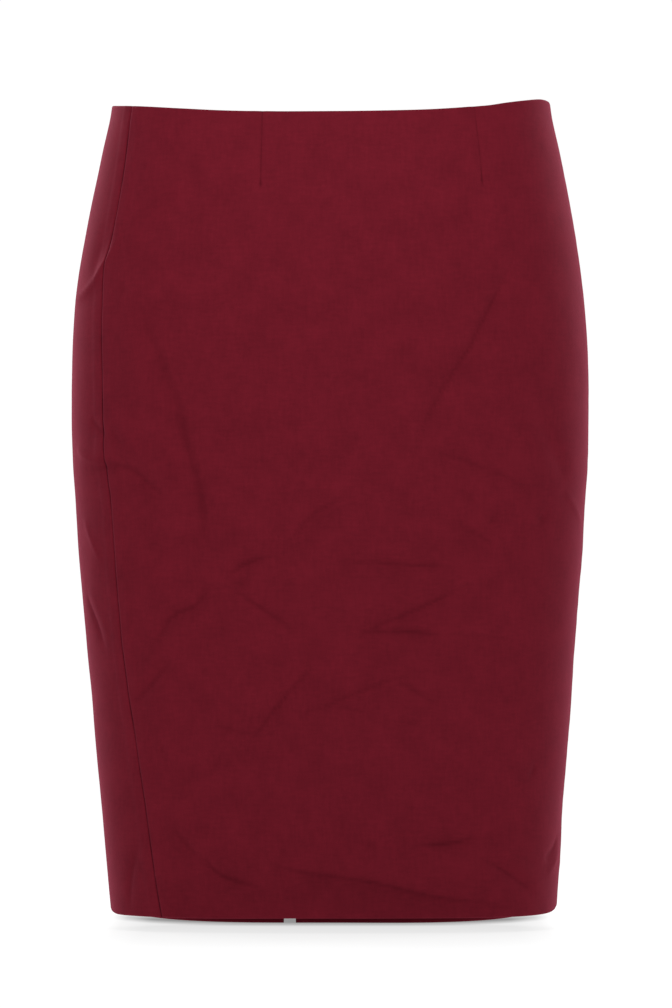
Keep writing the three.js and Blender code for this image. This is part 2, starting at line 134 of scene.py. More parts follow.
# Folds of the front: places (round, drop) along the line, half width, rise above the cloth, and
# the height of the soft ridge beside it, on the left of the line's direction if positive
FRONT_FOLDS = [
    ([(136, 120), (116, 156), (102, 182), (88, 202), (76, 222), (62, 248)], 3.8, -1.2, 0.4),
    ([(140, 118), (104, 188), (60, 254)], 12, -1.3, 0.0),
    ([(57, 96), (77, 107), (111, 123), (126, 131)], 10, 0.4, 0.0),
    ([(-91, 55), (-122, 90), (-147, 104)], 14, -1.7, 0.0),
    ([(-54, 57), (-70, 75), (-84, 92)], 12, -1.0, 0.0),
    ([(-173, 89), (-181, 106), (-196, 126)], 10, -0.8, 0.0),
    ([(-165, 103), (-172, 113), (-179, 120), (-192, 133), (-211, 141), (-234, 144)], 4.2, 1.3, 0.0),
    ([(-158, 134), (-155, 143)], 7, -0.5, 0.0),
    ([(75, 256), (109, 267), (130, 274), (148, 282)], 4.6, -0.75, 0.5),
    ([(92, 282), (106, 293)], 6, -0.5, 0.0),
    ([(94, 309), (119, 322)], 6, -0.8, 0.0),
    ([(155, 227), (172, 252), (187, 276)], 10, -1.0, 0.0),
    ([(187, 284), (222, 307)], 6, 0.5, 0.0),
    ([(-138, 155), (-130, 176), (-118, 203), (-111, 223)], 9, -0.7, -0.4),
    ([(-111, 216), (-106, 244), (-100, 264), (-95, 284), (-92, 304)], 9.3, -1.15, -0.7),
    ([(-95, 284), (-92, 302), (-91, 322)], 9, -0.7, -0.4),
    ([(-218, 252), (-186, 261), (-172, 261)], 5.5, 1.6, 0.0),
    ([(-192, 267), (-152, 267), (-133, 280), (-119, 290)], 6, -0.9, 0.5),
    ([(-192, 231), (-174, 244)], 6, -0.9, 0.0),
    ([(-172, 236), (-156, 252)], 5, -0.5, 0.0),
    ([(-29, 320), (-21, 311), (-13, 302), (10, 288)], 4.2, -0.9, 0.4),
    ([(-74, 345), (-62, 337), (-46, 332)], 5, -1.75, 0.5),
    ([(-72, 352), (-56, 348)], 9, -0.8, 0.0),
    ([(-85, 350), (-98, 366), (-116, 374), (-128, 391)], 5.5, -1.4, 0.6),
    ([(-67, 356), (-56, 364), (-44, 372), (-28, 382)], 4.6, -1.2, -0.4),
    ([(-49, 330), (-32, 345), (3, 376), (16, 385)], 5.5, 0.8, 0.0),
    ([(6, 336), (30, 336), (60, 338), (94, 339)], 3.8, -1.2, -0.7),
    ([(10, 338), (50, 340), (92, 340)], 10, -0.9, 0.0),
    ([(21, 388), (36, 380), (58, 371), (82, 360), (100, 351)], 4.4, -1.45, 0.7),
    ([(24, 386), (40, 385), (60, 385.5), (80, 387.5)], 5, -1.5, 0.4),
    ([(84, 387), (109, 388), (140, 391)], 5, -0.5, 0.2),
    ([(-212, 358), (-195, 377), (-183, 396)], 4, -0.8, 0.3),
    ([(-209, 303), (-184, 334)], 6, 0.8, 0.0),
    ([(-151, 436), (-138, 426), (-116, 404)], 5, -1.1, 0.4),
    ([(-58, 463), (-50, 453), (-37, 436), (-14, 410)], 4.8, -1.3, 0.5),
    ([(-52, 459), (-66, 457), (-84, 451)], 5, -0.8, 0.3),
    ([(-20, 442), (-6, 439), (10, 432), (30, 424), (50, 416)], 4.6, -1.2, 0.5),
    ([(51, 422), (75, 436)], 5, -0.9, 0.4),
    ([(3, 438), (14, 440), (24, 442)], 4.2, -0.8, 0.2),
    ([(47, 448), (69, 453)], 5, -0.5, 0.2),
    ([(-79, 471), (-88, 487)], 6, -0.6, 0.0),
    ([(58, 538), (76, 537), (92, 535), (104, 532)], 5, -1.7, 0.5),
    ([(24, 537), (31, 537)], 7, -0.9, 0.0),
    ([(-118, 525), (-106, 538), (-94, 548)], 5, -0.6, 0.6),
    ([(-94, 547), (-84, 557), (-69, 563), (-50, 567)], 4.6, -1.4, 0.8),
    ([(-46, 550), (-24, 556), (5, 560), (35, 565), (67, 573), (124, 580)], 4.8, -1.1, 0.6),
    ([(106, 546), (118, 551), (135, 560), (153, 570)], 4.6, -1.1, 0.5),
    ([(172, 549), (185, 543), (197, 534)], 4.5, -1.0, 0.0),
    ([(176, 559), (190, 552), (203, 543)], 4.5, 0.7, 0.0),
    ([(-151, 540), (-160, 562), (-163, 584)], 6, -0.9, 0.0),
    ([(80, 461), (86, 463)], 8, -0.5, 0.0),
    ([(-128, 468), (-123, 470)], 8, -0.5, 0.0),
    ([(54, 509), (59, 511)], 8, -0.5, 0.0),
    ([(153, 483), (158, 486)], 8, -0.5, 0.0),
    ([(116, 304), (121, 306)], 8, -0.6, 0.0),
    ([(158, 302), (163, 306)], 8, -0.6, 0.0),
]

# Folds of the back, measured the same way from the middle of the back
BACK_FOLDS = [
    ([(-185, 118), (-150, 150), (-108, 172)], 11, -1.5, 0.0),
    ([(190, 130), (158, 158), (112, 190)], 11, -1.6, 0.0),
    ([(-96, 60), (-118, 92), (-150, 110)], 11, -1.3, 0.0),
    ([(104, 66), (122, 96), (148, 112)], 11, -1.1, 0.0),
    ([(-160, 290), (-132, 299), (-104, 300), (-80, 293), (-58, 291)], 5.0, -1.4, 0.6),
    ([(-150, 294), (-104, 304), (-64, 294)], 12, -0.9, 0.0),
    ([(36, 300), (62, 309), (90, 313), (118, 306), (142, 302)], 5.2, -1.5, 0.6),
    ([(40, 304), (90, 317), (138, 304)], 12, -0.9, 0.0),
    ([(-150, 318), (-126, 330), (-96, 335), (-70, 330), (-44, 330)], 4.8, -1.3, 0.5),
    ([(48, 340), (70, 348), (96, 351), (126, 341), (150, 336)], 4.8, -1.3, 0.5),
    ([(-132, 318), (-88, 316), (-40, 308)], 10, 0.8, 0.0),
    ([(60, 326), (98, 330), (134, 320)], 10, 0.8, 0.0),
    ([(-158, 372), (-128, 358), (-96, 350)], 5.2, -1.2, 0.5),
    ([(-88, 388), (-52, 372), (-14, 368)], 4.8, -1.2, 0.4),
    ([(30, 392), (66, 376), (106, 380)], 4.8, -1.1, 0.4),
    ([(128, 398), (150, 380), (168, 356)], 5.4, -1.4, 0.5),
    ([(-122, 440), (-96, 424), (-62, 416)], 4.6, -1.0, 0.4),
    ([(62, 452), (88, 436), (126, 430)], 4.6, -1.0, 0.4),
    ([(-168, 470), (-150, 452), (-138, 430)], 6, -1.1, 0.4),
    ([(70, 520), (92, 536), (124, 548)], 5, -1.2, 0.5),
    ([(-130, 536), (-104, 548), (-72, 550)], 5, -1.2, 0.5),
    ([(-34, 500), (-46, 530), (-50, 566)], 7, -1.0, 0.0),
    ([(22, 470), (30, 500), (28, 540)], 7, -0.8, 0.0),
    ([(-70, 226), (-96, 214), (-120, 196)], 8, -0.6, 0.0),
    ([(84, 240), (110, 226), (128, 206)], 8, -0.7, 0.0),
]


def read_rows(rows, at, column):
    """A smooth value between the rows of a table, for an array of places."""
    keys, values = rows[:, 0], rows[:, column]
    slopes = np.empty(len(keys))
    slopes[1:-1] = (values[2:] - values[:-2]) / (keys[2:] - keys[:-2])
    slopes[0] = (values[1] - values[0]) / (keys[1] - keys[0])
    slopes[-1] = (values[-1] - values[-2]) / (keys[-1] - keys[-2])
    at = np.asarray(at, float)
    i = np.clip(np.searchsorted(keys, at) - 1, 0, len(keys) - 2)
    step = keys[i + 1] - keys[i]
    t = (at - keys[i]) / step
    near = (1 + 2 * t) * (1 - t) ** 2 * values[i] + t * (1 - t) ** 2 * step * slopes[i]
    far = t * t * (3 - 2 * t) * values[i + 1] + t * t * (t - 1) * step * slopes[i + 1]
    return near + far


def soft_step(start, end, at):
    t = np.clip((at - start) / (end - start), 0, 1)
    return t * t * (3 - 2 * t)


def mound(aside, below, wide, tall):
    """A soft oval, 1 in its middle."""
    return np.exp(-((aside / wide) ** 2) - ((below / tall) ** 2))


def wrap(angle):
    """Angles run from -90 round to 270."""
    return (np.asarray(angle, float) + 90) % 360 - 90


def oval(angle, half, depth):
    turn = np.radians(angle)
    across = np.sin(turn) + SQUARENESS * np.sin(3 * turn)
    along = np.cos(turn) - SQUARENESS * np.cos(3 * turn)
    return half * across / (1 - SQUARENESS), -depth * along / (1 - SQUARENESS)


def body_point(angle, drop):
    """The smooth form of the skirt, before folds, in millimetres."""
    half, front, back, centre = (read_rows(SECTIONS, drop, column) for column in (1, 2, 3, 4))
    x, y = oval(angle, half, (front + back) / 2)
    return np.stack([centre + x, (back - front) / 2 + y, -np.asarray(drop, float) + 0 * x], -1)


def body_normal(angle, drop):
    around = body_point(angle + 0.5, drop) - body_point(angle - 0.5, drop)
    down = body_point(angle, drop + 2) - body_point(angle, drop - 2)
    normal = np.cross(down, around)
    return normal / np.linalg.norm(normal, axis=-1, keepdims=True)


def degree_length(angle, drop):
    """The length of one degree round the cloth, in millimetres."""
    return np.linalg.norm(body_point(angle + 0.5, drop) - body_point(angle - 0.5, drop), axis=-1)


def beside(angle, drop, distance):
    """The angle that lies a distance in millimetres round the cloth from another."""
    return angle + distance / degree_length(angle, drop)


WIDEST = SECTIONS[8]
DEGREES = np.arange(0, 181)
ROUND_X, ROUND_Y = oval(DEGREES, WIDEST[1], (WIDEST[2] + WIDEST[3]) / 2)
ROUND_LENGTHS = np.concatenate([[0], np.cumsum(np.hypot(np.diff(ROUND_X), np.diff(ROUND_Y)))])


def round_from_front(angle, drop):
    signed = wrap(angle)
    signed = np.where(signed > 180, signed - 360, signed)
    length = np.interp(np.abs(signed), DEGREES, ROUND_LENGTHS)
    return np.sign(signed) * length * read_rows(SECTIONS, drop, 1) / WIDEST[1]


def round_from_back(angle, drop):
    front = round_from_front(angle, drop)
    half_round = ROUND_LENGTHS[-1] * read_rows(SECTIONS, drop, 1) / WIDEST[1]
    return np.where(front < 0, front + half_round, front - half_round)


FOLD_ENDS = (0.015, 0.985)
FOLD_FADE = 0.55


def fold_line(points, steps=14):
    """A smooth line through the places of a fold, with its strength fading to both ends."""
    points = np.array(points, float)
    knots = np.concatenate([[0], np.cumsum(np.linalg.norm(np.diff(points, axis=0), axis=1))])
    at = np.linspace(0, knots[-1], steps * (len(points) - 1) + 1)
    if len(points) > 2:
        line = np.stack([read_rows(np.column_stack([knots, points[:, k]]), at, 1) for k in (0, 1)], -1)
    else:
        line = points[0] + (points[1] - points[0]) * (at / knots[-1])[:, None]
    return line, np.sin(np.pi * np.clip(at / knots[-1], *FOLD_ENDS)) ** FOLD_FADE


# A narrow fold is a pressed crease, steepest beside its line. A wide one is a soft trough.
SHARP_WIDTH = 9.5
CREASE_ROUND = 1.1
CREASE_GAIN = 1.35
CREASE_RUN_OUT = 0.62
TROUGH_GAIN = 1.4
TROUGH_POWER = 0.85
# The ridge beside a fold, its place and width as shares of the fold's half width
RIDGE_GAIN = 1.3
RIDGE_PLACE = 2.1
RIDGE_WIDTH = 1.15
FOLD_REACH = 5.5
# How dark the shade painted along a crease's line is, and how far a fainter painted shade reaches to its
# right and below
CREASE_SHADE = 0.17
LINE_SHARE = 0.36
TAIL_SHARE = 0.42
TAIL_REACH = 7.5
TAIL_RIGHT, TAIL_DOWN = 0.6, 0.8


def fold_profile(distance, width, height):
    """How far a fold moves the cloth at a distance from its line."""
    if width >= SHARP_WIDTH:
        return TROUGH_GAIN * height * np.exp(-((distance / width) ** 2) ** TROUGH_POWER)
    soft = np.sqrt(distance ** 2 + CREASE_ROUND ** 2) - CREASE_ROUND
    return CREASE_GAIN * height * np.exp(-soft / (CREASE_RUN_OUT * width))


def nearest_on(line, places):
    """For each place the nearest segment of a line: its number, run and share, and the gap to it."""
    start, along = line[:-1], np.diff(line, axis=0)
    offset = places[:, None, :] - start[None]
    share = np.clip((offset * along).sum(2) / (along ** 2).sum(1), 0, 1)
    gap = offset - share[..., None] * along
    segment = (gap ** 2).sum(2).argmin(1)
    rows = np.arange(len(places))
    return segment, along[segment], share[rows, segment], gap[rows, segment]


def folds_at(folds, at, down):
    """How far the folds lift the cloth at each place, and how much shade is painted along their creases.
    """
    rise, shade = np.zeros(np.shape(at)), np.zeros(np.shape(at))
    for points, width, height, ridge in folds:
        line, strength = fold_line(points)
        low, high = line.min(0) - FOLD_REACH * width, line.max(0) + FOLD_REACH * width
        near = (at > low[0]) & (at < high[0]) & (down > low[1]) & (down < high[1])
        if not near.any():
            continue
        segment, along, share, gap = nearest_on(line, np.stack([at[near], down[near]], -1))
        distance = np.sqrt((gap ** 2).sum(1))
        power = strength[segment] * (1 - share) + strength[segment + 1] * share
        lift = fold_profile(distance, width, height)
        if ridge:
            cross = along[:, 0] * gap[:, 1] - along[:, 1] * gap[:, 0]
            side = -np.sign(cross) * math.copysign(1, ridge)
            bulge = np.exp(-(((distance - RIDGE_PLACE * width) / (RIDGE_WIDTH * width)) ** 2))
            lift += RIDGE_GAIN * abs(ridge) * bulge * (0.5 + 0.5 * side)
        rise[near] += power * lift
        # Painted shade: the cloth's colour darkens along a crease's line and, more faintly, to its right
        # and below
        if width < SHARP_WIDTH and height < 0:
            line_shade = np.exp(-((distance / (LINE_SHARE * width)) ** 2))
            lower_side = (TAIL_RIGHT * gap[:, 0] + TAIL_DOWN * gap[:, 1]) / (distance + 0.5)
            tail = TAIL_SHARE * np.clip(lower_side, 0, 1) * np.exp(-distance / TAIL_REACH)
            shade[near] += CREASE_SHADE * -height * power * np.maximum(line_shade, tail)
    return rise, shade


# Lines below which the cloth tucks in: places (round, drop), depth, reach below, ridge above
TUCKS = [
    ([(-50, 548), (-24, 554), (5, 559), (35, 564), (67, 572), (100, 577), (132, 581)], 1.1, 20.0, 0.3),
    ([(-122, 524), (-104, 540), (-84, 558), (-66, 564), (-44, 568)], 0.4, 16.0, 0.2),
]
TUCK_FADE = 0.7
TUCK_ROUND = 2.0
TUCK_RIDGE_WIDTH = 4.5
TUCK_SHADE = 0.13
TUCK_SHADE_REACH = 28


def tucks_at(at, down):
    """How far the tucks move the cloth at each place, and how much shade is painted below them."""
    rise, shade = np.zeros(np.shape(at)), np.zeros(np.shape(at))
    for points, depth, reach, ridge in TUCKS:
        line = np.array(points, float)
        below = down - np.interp(at, line[:, 0], line[:, 1])
        share = np.clip((at - line[0, 0]) / (line[-1, 0] - line[0, 0]), 0, 1)
        strength = np.sin(math.pi * share) ** TUCK_FADE
        under = (below + np.sqrt(below ** 2 + TUCK_ROUND)) / 2
        rise -= depth * strength * (1 - np.exp(-under / reach))
        rise += ridge * strength * np.exp(-(((below + TUCK_RIDGE_WIDTH) / TUCK_RIDGE_WIDTH) ** 2))
        # Painted shade below the tuck, fading downward
        fade = np.exp(-under / TUCK_SHADE_REACH)
        shade += TUCK_SHADE * depth * strength * soft_step(-1, 1.5, below) * fade
    return rise, shade


NOISE_GRID = 64


def soft_noise(at, down, cell, seed):
    """Smooth, seeded undulation over the cloth, about -1 to 1."""
    grid = np.random.default_rng(seed).uniform(-1, 1, (NOISE_GRID, NOISE_GRID))
    x, y = at / cell + 31.0, down / cell + 3.0
    xi, yi = np.floor(x).astype(int), np.floor(y).astype(int)
    fx, fy = x - xi, y - yi
    fx, fy = fx * fx * (3 - 2 * fx), fy * fy * (3 - 2 * fy)

    def corner(i, j):
        return grid[(xi + i) % NOISE_GRID, (yi + j) % NOISE_GRID]

    top = corner(0, 0) * (1 - fx) + corner(1, 0) * fx
    low = corner(0, 1) * (1 - fx) + corner(1, 1) * fx
    return top * (1 - fy) + low * fy


# A dart: a fine sunk line, the cloth rounding over beside it, a dimple at its end, a swell below
DART_DEPTH = 0.22
DART_LINE = 0.7
DART_ROLL = 0.35
DART_ROLL_PLACE = 5
DART_ROLL_WIDTH = 4.0
DART_DIMPLE = 0.55
DIMPLE_SIZE = (4.5, 7)
DART_SWELL = 0.7
SWELL_DROP = 20
SWELL_SIZE = (14, 16)


def dart_angle(dart, drop):
    top, end, end_drop = dart
    return top + (end - top) * np.minimum(drop / end_drop, 1)


def aside_of_dart(dart, at, drop):
    """How far round the cloth a place lies from a dart's line, in millimetres."""
    return at - round_from_front(dart_angle(dart, drop), drop)


def rise_of_darts(angle, drop):
    rise = np.zeros(np.shape(angle))
    for dart in DARTS:
        aside = aside_of_dart(dart, round_from_front(angle, drop), drop)
        fade = 1 - soft_step(dart[2] - 8, dart[2] + 1, drop)
        rise -= DART_DEPTH * fade * np.exp(-((aside / DART_LINE) ** 2))
        rise += DART_ROLL * fade * np.exp(-(((np.abs(aside) - DART_ROLL_PLACE) / DART_ROLL_WIDTH) ** 2))
        below = drop - dart[2]
        rise -= DART_DIMPLE * mound(aside, below, *DIMPLE_SIZE)
        rise += DART_SWELL * mound(aside, below - SWELL_DROP, *SWELL_SIZE)
    return rise


def back_gap(drop):
    """Half the gap at the centre back: closed seam, parted at the zip's top, open at the slit."""
    parting = (PARTING_WIDTH - SEAM_GAP) * (1 - soft_step(PARTING_START, PARTING_END, drop))
    opened = np.maximum(np.asarray(drop, float) - SLIT_TOP, 0) / (SLIT_LEVEL - SLIT_TOP)
    return (SEAM_GAP + parting + (SLIT_WIDTH - SEAM_GAP) * opened) / 2


def half_gap(rows, drop):
    """How far the panels' edges stand from a seam's line."""
    return back_gap(drop) if rows is BACK_SEAM else SEAM_GAP / 2


def seam_angle(rows, drop):
    return read_rows(rows, drop, 1)


SEAMS = (LEFT_SEAM, RIGHT_SEAM, BACK_SEAM)
SEAM_ROLL = 0.6
SEAM_ROLL_WIDTH = 1.0
ALLOWANCE_WIDTH = 10.0
ALLOWANCE_LIFT = 0.3
PUCKER_RISE = 0.22
PUCKER_CELL = 6.5
PUCKER_PLACE = 3.5
PUCKER_WIDTH = 5.0
PUCKER_SEED = 40
# Round the slider the cloth lies flat: how far to its sides, and where that ends below it
FLAT_WIDTH = 22
FLAT_START = 34
FLAT_END = 60
# Unevenness of the whole cloth: rise, cell, seed
UNEVEN = [(0.45, 62, 3), (0.22, 27, 5), (0.05, 11, 8)]


def off_seam(rows, angle, drop):
    """How far round the cloth a place lies from a seam's line, in millimetres, with its side."""
    line = seam_angle(rows, drop)
    return ((np.asarray(angle, float) - line + 180) % 360 - 180) * degree_length(line, drop)


def off_edge(rows, off, drop):
    """The same distance without its side, less what the seam opens by at the zip and the slit."""
    return np.maximum(np.abs(off) - (half_gap(rows, drop) - SEAM_GAP / 2), 0)


def near_slider(angle, drop):
    """1 round the zip's slider, where the cloth lies flat, and 0 away from it."""
    aside = off_seam(BACK_SEAM, angle, drop)
    return np.exp(-((aside / FLAT_WIDTH) ** 2)) * (1 - soft_step(FLAT_START, FLAT_END, drop))


def rise_of_seams(angle, drop):
    """The cloth rolls in at a seam, lies a little proud over its allowances, and puckers."""
    rise = np.zeros(np.shape(angle))
    for index, rows in enumerate(SEAMS):
        off = off_seam(rows, angle, drop)
        aside = off_edge(rows, off, drop)
        rise -= SEAM_ROLL * np.exp(-((aside / SEAM_ROLL_WIDTH) ** 1.6))
        rise += ALLOWANCE_LIFT * (1 - soft_step(ALLOWANCE_WIDTH - 2, ALLOWANCE_WIDTH + 3, aside))
        pucker = soft_noise(np.sign(off) * 40 + 0 * drop, drop, PUCKER_CELL, PUCKER_SEED + index)
        rise += PUCKER_RISE * pucker * np.exp(-((aside - PUCKER_PLACE) / PUCKER_WIDTH) ** 2)
    return rise * (1 - near_slider(angle, drop))


def relief(angle, drop):
    """How far the cloth stands off the smooth form."""
    at, back = round_from_front(angle, drop), round_from_back(angle, drop)
    rise = folds_at(FRONT_FOLDS, at, drop)[0] + folds_at(BACK_FOLDS, back, drop)[0]
    rise += tucks_at(at, drop)[0] + rise_of_darts(angle, drop) + rise_of_seams(angle, drop)
    uneven = sum(height * soft_noise(at, drop, cell, seed) for height, cell, seed in UNEVEN)
    return rise + uneven * (1 - near_slider(angle, drop))


# Painted shade: a dark line beside each seam's gap and along each dart, and a dark spot at each dart's
# end
SEAM_SHADE = 0.55
SEAM_SHADE_WIDTH = 0.55
DART_SHADE = 0.38
DART_SHADE_WIDTH = 0.6
DART_END_SHADE = 0.45
DART_END_RISE = 1.5
DART_END_SIZE = (1.0, 2.6)
# How the painted shade varies along a seam and along a dart: mean, spread, cell, seed
SEAM_VARIES = (0.85, 0.45, 17.0, 77)
DART_VARIES = (0.65, 0.5, 8.0, 71)


def varying(at, drop, mean, spread, cell, seed):
    return mean + spread * soft_noise(at, drop, cell, seed)


def shade_at(angle, drop):
    """How much shade is painted into the cloth's colour in creases, below the tucks, beside the seams,
    along the darts and at the darts' ends.
    """
    at, back = round_from_front(angle, drop), round_from_back(angle, drop)
    shade = folds_at(FRONT_FOLDS, at, drop)[1] + folds_at(BACK_FOLDS, back, drop)[1]
    shade += tucks_at(at, drop)[1]
    seam_strength = varying(0 * at, drop, *SEAM_VARIES)
    for rows in SEAMS:
        aside = off_edge(rows, off_seam(rows, angle, drop), drop)
        shade += SEAM_SHADE * seam_strength * np.exp(-((aside / SEAM_SHADE_WIDTH) ** 2))
    for dart in DARTS:
        aside = aside_of_dart(dart, at, drop)
        fade = 1 - soft_step(dart[2] - 6, dart[2] + 1, drop)
        strength = varying(0 * at + 7 * dart[0], drop, *DART_VARIES)
        shade += DART_SHADE * fade * strength * np.exp(-((aside / DART_SHADE_WIDTH) ** 2))
        shade += DART_END_SHADE * mound(aside, drop - dart[2] + DART_END_RISE, *DART_END_SIZE)
    return np.clip(shade, 0, 1)


def top_of(angle):
    return read_rows(WAIST_EDGE, wrap(angle), 1)


def hem_of(angle):
    return read_rows(HEM_EDGE, wrap(angle), 1)


TURNED_STEP = 0.9


def thick_at(angle, drop):
    turn_in = 1 - soft_step(TURN_IN_HEIGHT, TURN_IN_HEIGHT + TURNED_STEP, drop - top_of(angle))
    turn_up = 1 - soft_step(HEM_HEIGHT, HEM_HEIGHT + TURNED_STEP, hem_of(angle) - drop)
    thick = CLOTH_THICK + (TURN_IN_THICK - CLOTH_THICK) * turn_in
    return thick + (HEM_THICK - CLOTH_THICK) * turn_up


FLAP_THICK = 0.8
FLAP_STEP = 0.5


def flap_at(angle, drop):
    """The seam allowances pressed open inside, under the turn-in and the hem, and beside no zip."""
    below = soft_step(TURN_IN_HEIGHT - 1, TURN_IN_HEIGHT, drop - top_of(angle))
    above = soft_step(HEM_HEIGHT - 1, HEM_HEIGHT, hem_of(angle) - drop)
    flap = np.zeros(np.shape(angle))
    for rows in SEAMS:
        past_edge = np.abs(off_seam(rows, angle, drop)) - (ALLOWANCE_WIDTH + half_gap(rows, drop))
        here = 1 - soft_step(0, FLAP_STEP, past_edge)
        if rows is BACK_SEAM:
            here = here * soft_step(TAPE_END + 3, TAPE_END + 5, drop)
        flap = np.maximum(flap, here)
    return FLAP_THICK * flap * below * above


def cloth_point(angle, drop, lift):
    """A place on the cloth's outer face, moved out along its normal, in millimetres."""
    rise = relief(angle, drop) + lift
    return body_point(angle, drop) + body_normal(angle, drop) * rise[..., None]


def show(name, data):
    obj = bpy.data.objects.new(name, data)
    bpy.context.scene.collection.objects.link(obj)
    return obj


def new_object(name, points_mm, faces, uvs=None, shade=None):
    mesh = bpy.data.meshes.new(name)
    mesh.from_pydata([tuple(p) for p in np.asarray(points_mm, float) * MM], [], faces)
    mesh.update()
    if uvs is not None:
        layer = mesh.uv_layers.new(name="Cloth")
        loops = np.empty(len(mesh.loops), int)
        mesh.loops.foreach_get("vertex_index", loops)
        layer.data.foreach_set("uv", np.asarray(uvs, float)[loops].astype(np.float32).ravel())
    if shade is not None:
        attribute = mesh.attributes.new("Shade", "FLOAT", "POINT")
        attribute.data.foreach_set("value", shade.astype(np.float32))
    mesh.polygons.foreach_set("use_smooth", [True] * len(mesh.polygons))
    return show(name, mesh)


# Grid rows by the waist edge and by the hem edge, as distances from them, closest where the
# thickness changes
WAIST_ROWS = np.array([
    1.2, 2.4, 4.2, 6.3, 8.5, 10.7, 12.9, 15.1, 17.3, 19.5, 21.7, 23.4, 24.0, 24.45, 24.9, 25.6, 27.0,
])
HEM_ROWS = np.array([
    38.0, 36.6, 35.9, 35.45, 35.0, 34.4, 32.6, 30.4, 28.2, 26.0, 23.8, 21.6, 19.4, 17.2, 15.0,
    12.8, 10.6, 8.4, 6.2, 4.4, 2.9, 1.5,
])
# The rows between, as shares of the way, further apart above, where there are few creases
UPPER_STEP = 2.7
UPPER_END = 200.0
LOWER_STEP = 2.0
MIDDLE_LENGTH = 527.0
UPPER_ROWS = np.arange(UPPER_STEP, UPPER_END, UPPER_STEP)
LOWER_ROWS = np.arange(UPPER_END, MIDDLE_LENGTH - 1, LOWER_STEP)
MIDDLE_ROWS = np.concatenate([UPPER_ROWS, LOWER_ROWS]) / MIDDLE_LENGTH
HEAD, TAIL = len(WAIST_ROWS), len(HEM_ROWS)
ROW_COUNT = HEAD + len(MIDDLE_ROWS) + TAIL
# Rows of the inner face: every second one, and all of them where the thickness changes
INNER_ROWS = [*range(HEAD), *range(HEAD, ROW_COUNT - TAIL, 2), *range(ROW_COUNT - TAIL, ROW_COUNT)]
RIM_ROWS = 4


def row_drops_along(angles):
    """The drop of each grid row, where row k stands at angle k."""
    top, hem = top_of(angles), hem_of(angles)
    first, last = top + WAIST_ROWS[-1], hem - HEM_ROWS[0]
    rows = np.empty(ROW_COUNT)
    rows[:HEAD] = top[:HEAD] + WAIST_ROWS
    rows[-TAIL:] = hem[-TAIL:] - HEM_ROWS
    rows[HEAD:-TAIL] = first[HEAD:-TAIL] + (last - first)[HEAD:-TAIL] * MIDDLE_ROWS
    return rows


def panel_columns(guides, shares):
    """Column lines between guide lines; each share list places the columns of one stretch."""
    def between(left, right, share):
        return lambda drop: left(drop) * (1 - share) + right(drop) * share

    columns = []
    for left, right, places in zip(guides[:-1], guides[1:], shares):
        columns += [between(left, right, share) for share in places]
    return columns + [guides[-1]]


EDGE_REACH = 10.0
EDGE_IN = [0, 0.036, 0.08, 0.135, 0.2, 0.28, 0.38, 0.5, 0.65, 0.82]
EDGE_OUT = [0] + sorted(1 - s for s in EDGE_IN)[:-1]
DART_REACH = 6.0
DART_COLUMNS = 14
COLUMN_STEP = 2.05


def seam_guides(rows, inward, turn=0.0):
    """The panel's edge at a seam and the line a little way in from it."""
    def line(reach):
        def place(drop):
            return beside(seam_angle(rows, drop) + turn, drop, inward * (half_gap(rows, drop) + reach))

        return place

    return line(0), line(EDGE_REACH)


def dart_guides(dart):
    """Lines on both sides of a dart, between which the columns stand close together."""
    def line(aside):
        return lambda drop: beside(dart_angle(dart, drop), drop, aside)

    return line(-DART_REACH), line(DART_REACH)


def even(count):
    return [k / count for k in range(count)]


def stretch(length, flap=0):
    """Shares for an even count of columns over a stretch of about this length. Where a seam's flap
    ends at its start (1) or its end (-1), two columns stand close together and make the step."""
    count = 2 * round(length / COLUMN_STEP / 2)
    if not flap:
        return even(count)
    close = [0, FLAP_STEP / 2 / length, FLAP_STEP / length]
    places = close + np.linspace(FLAP_STEP / length, 1, count - 1)[1:].tolist()
    return places[:-1] if flap > 0 else [0] + [1 - p for p in reversed(places[1:-1])]


def panel_grid(columns):
    """The angles and drops of a panel's places, in rows from waist to hem."""
    angles, drops = [], []
    for column in columns:
        rows = row_drops_along(np.full(ROW_COUNT, column(300.0)))
        for _ in range(3):
            rows = row_drops_along(column(rows))
        drops.append(rows)
        angles.append(column(rows))
    return np.stack(angles, 1), np.stack(drops, 1)


def rim(line, drop, level, thick, way):
    """Rows of points that round the cloth's edge from the outer face to the inner one."""
    rings = []
    for k in range(1, RIM_ROWS + 1):
        turn = math.pi * k / (RIM_ROWS + 1)
        at = drop + way * np.abs(level - drop) * math.sin(turn)
        rings.append(cloth_point(line, at, -thick / 2 * (1 - math.cos(turn))))
    return rings


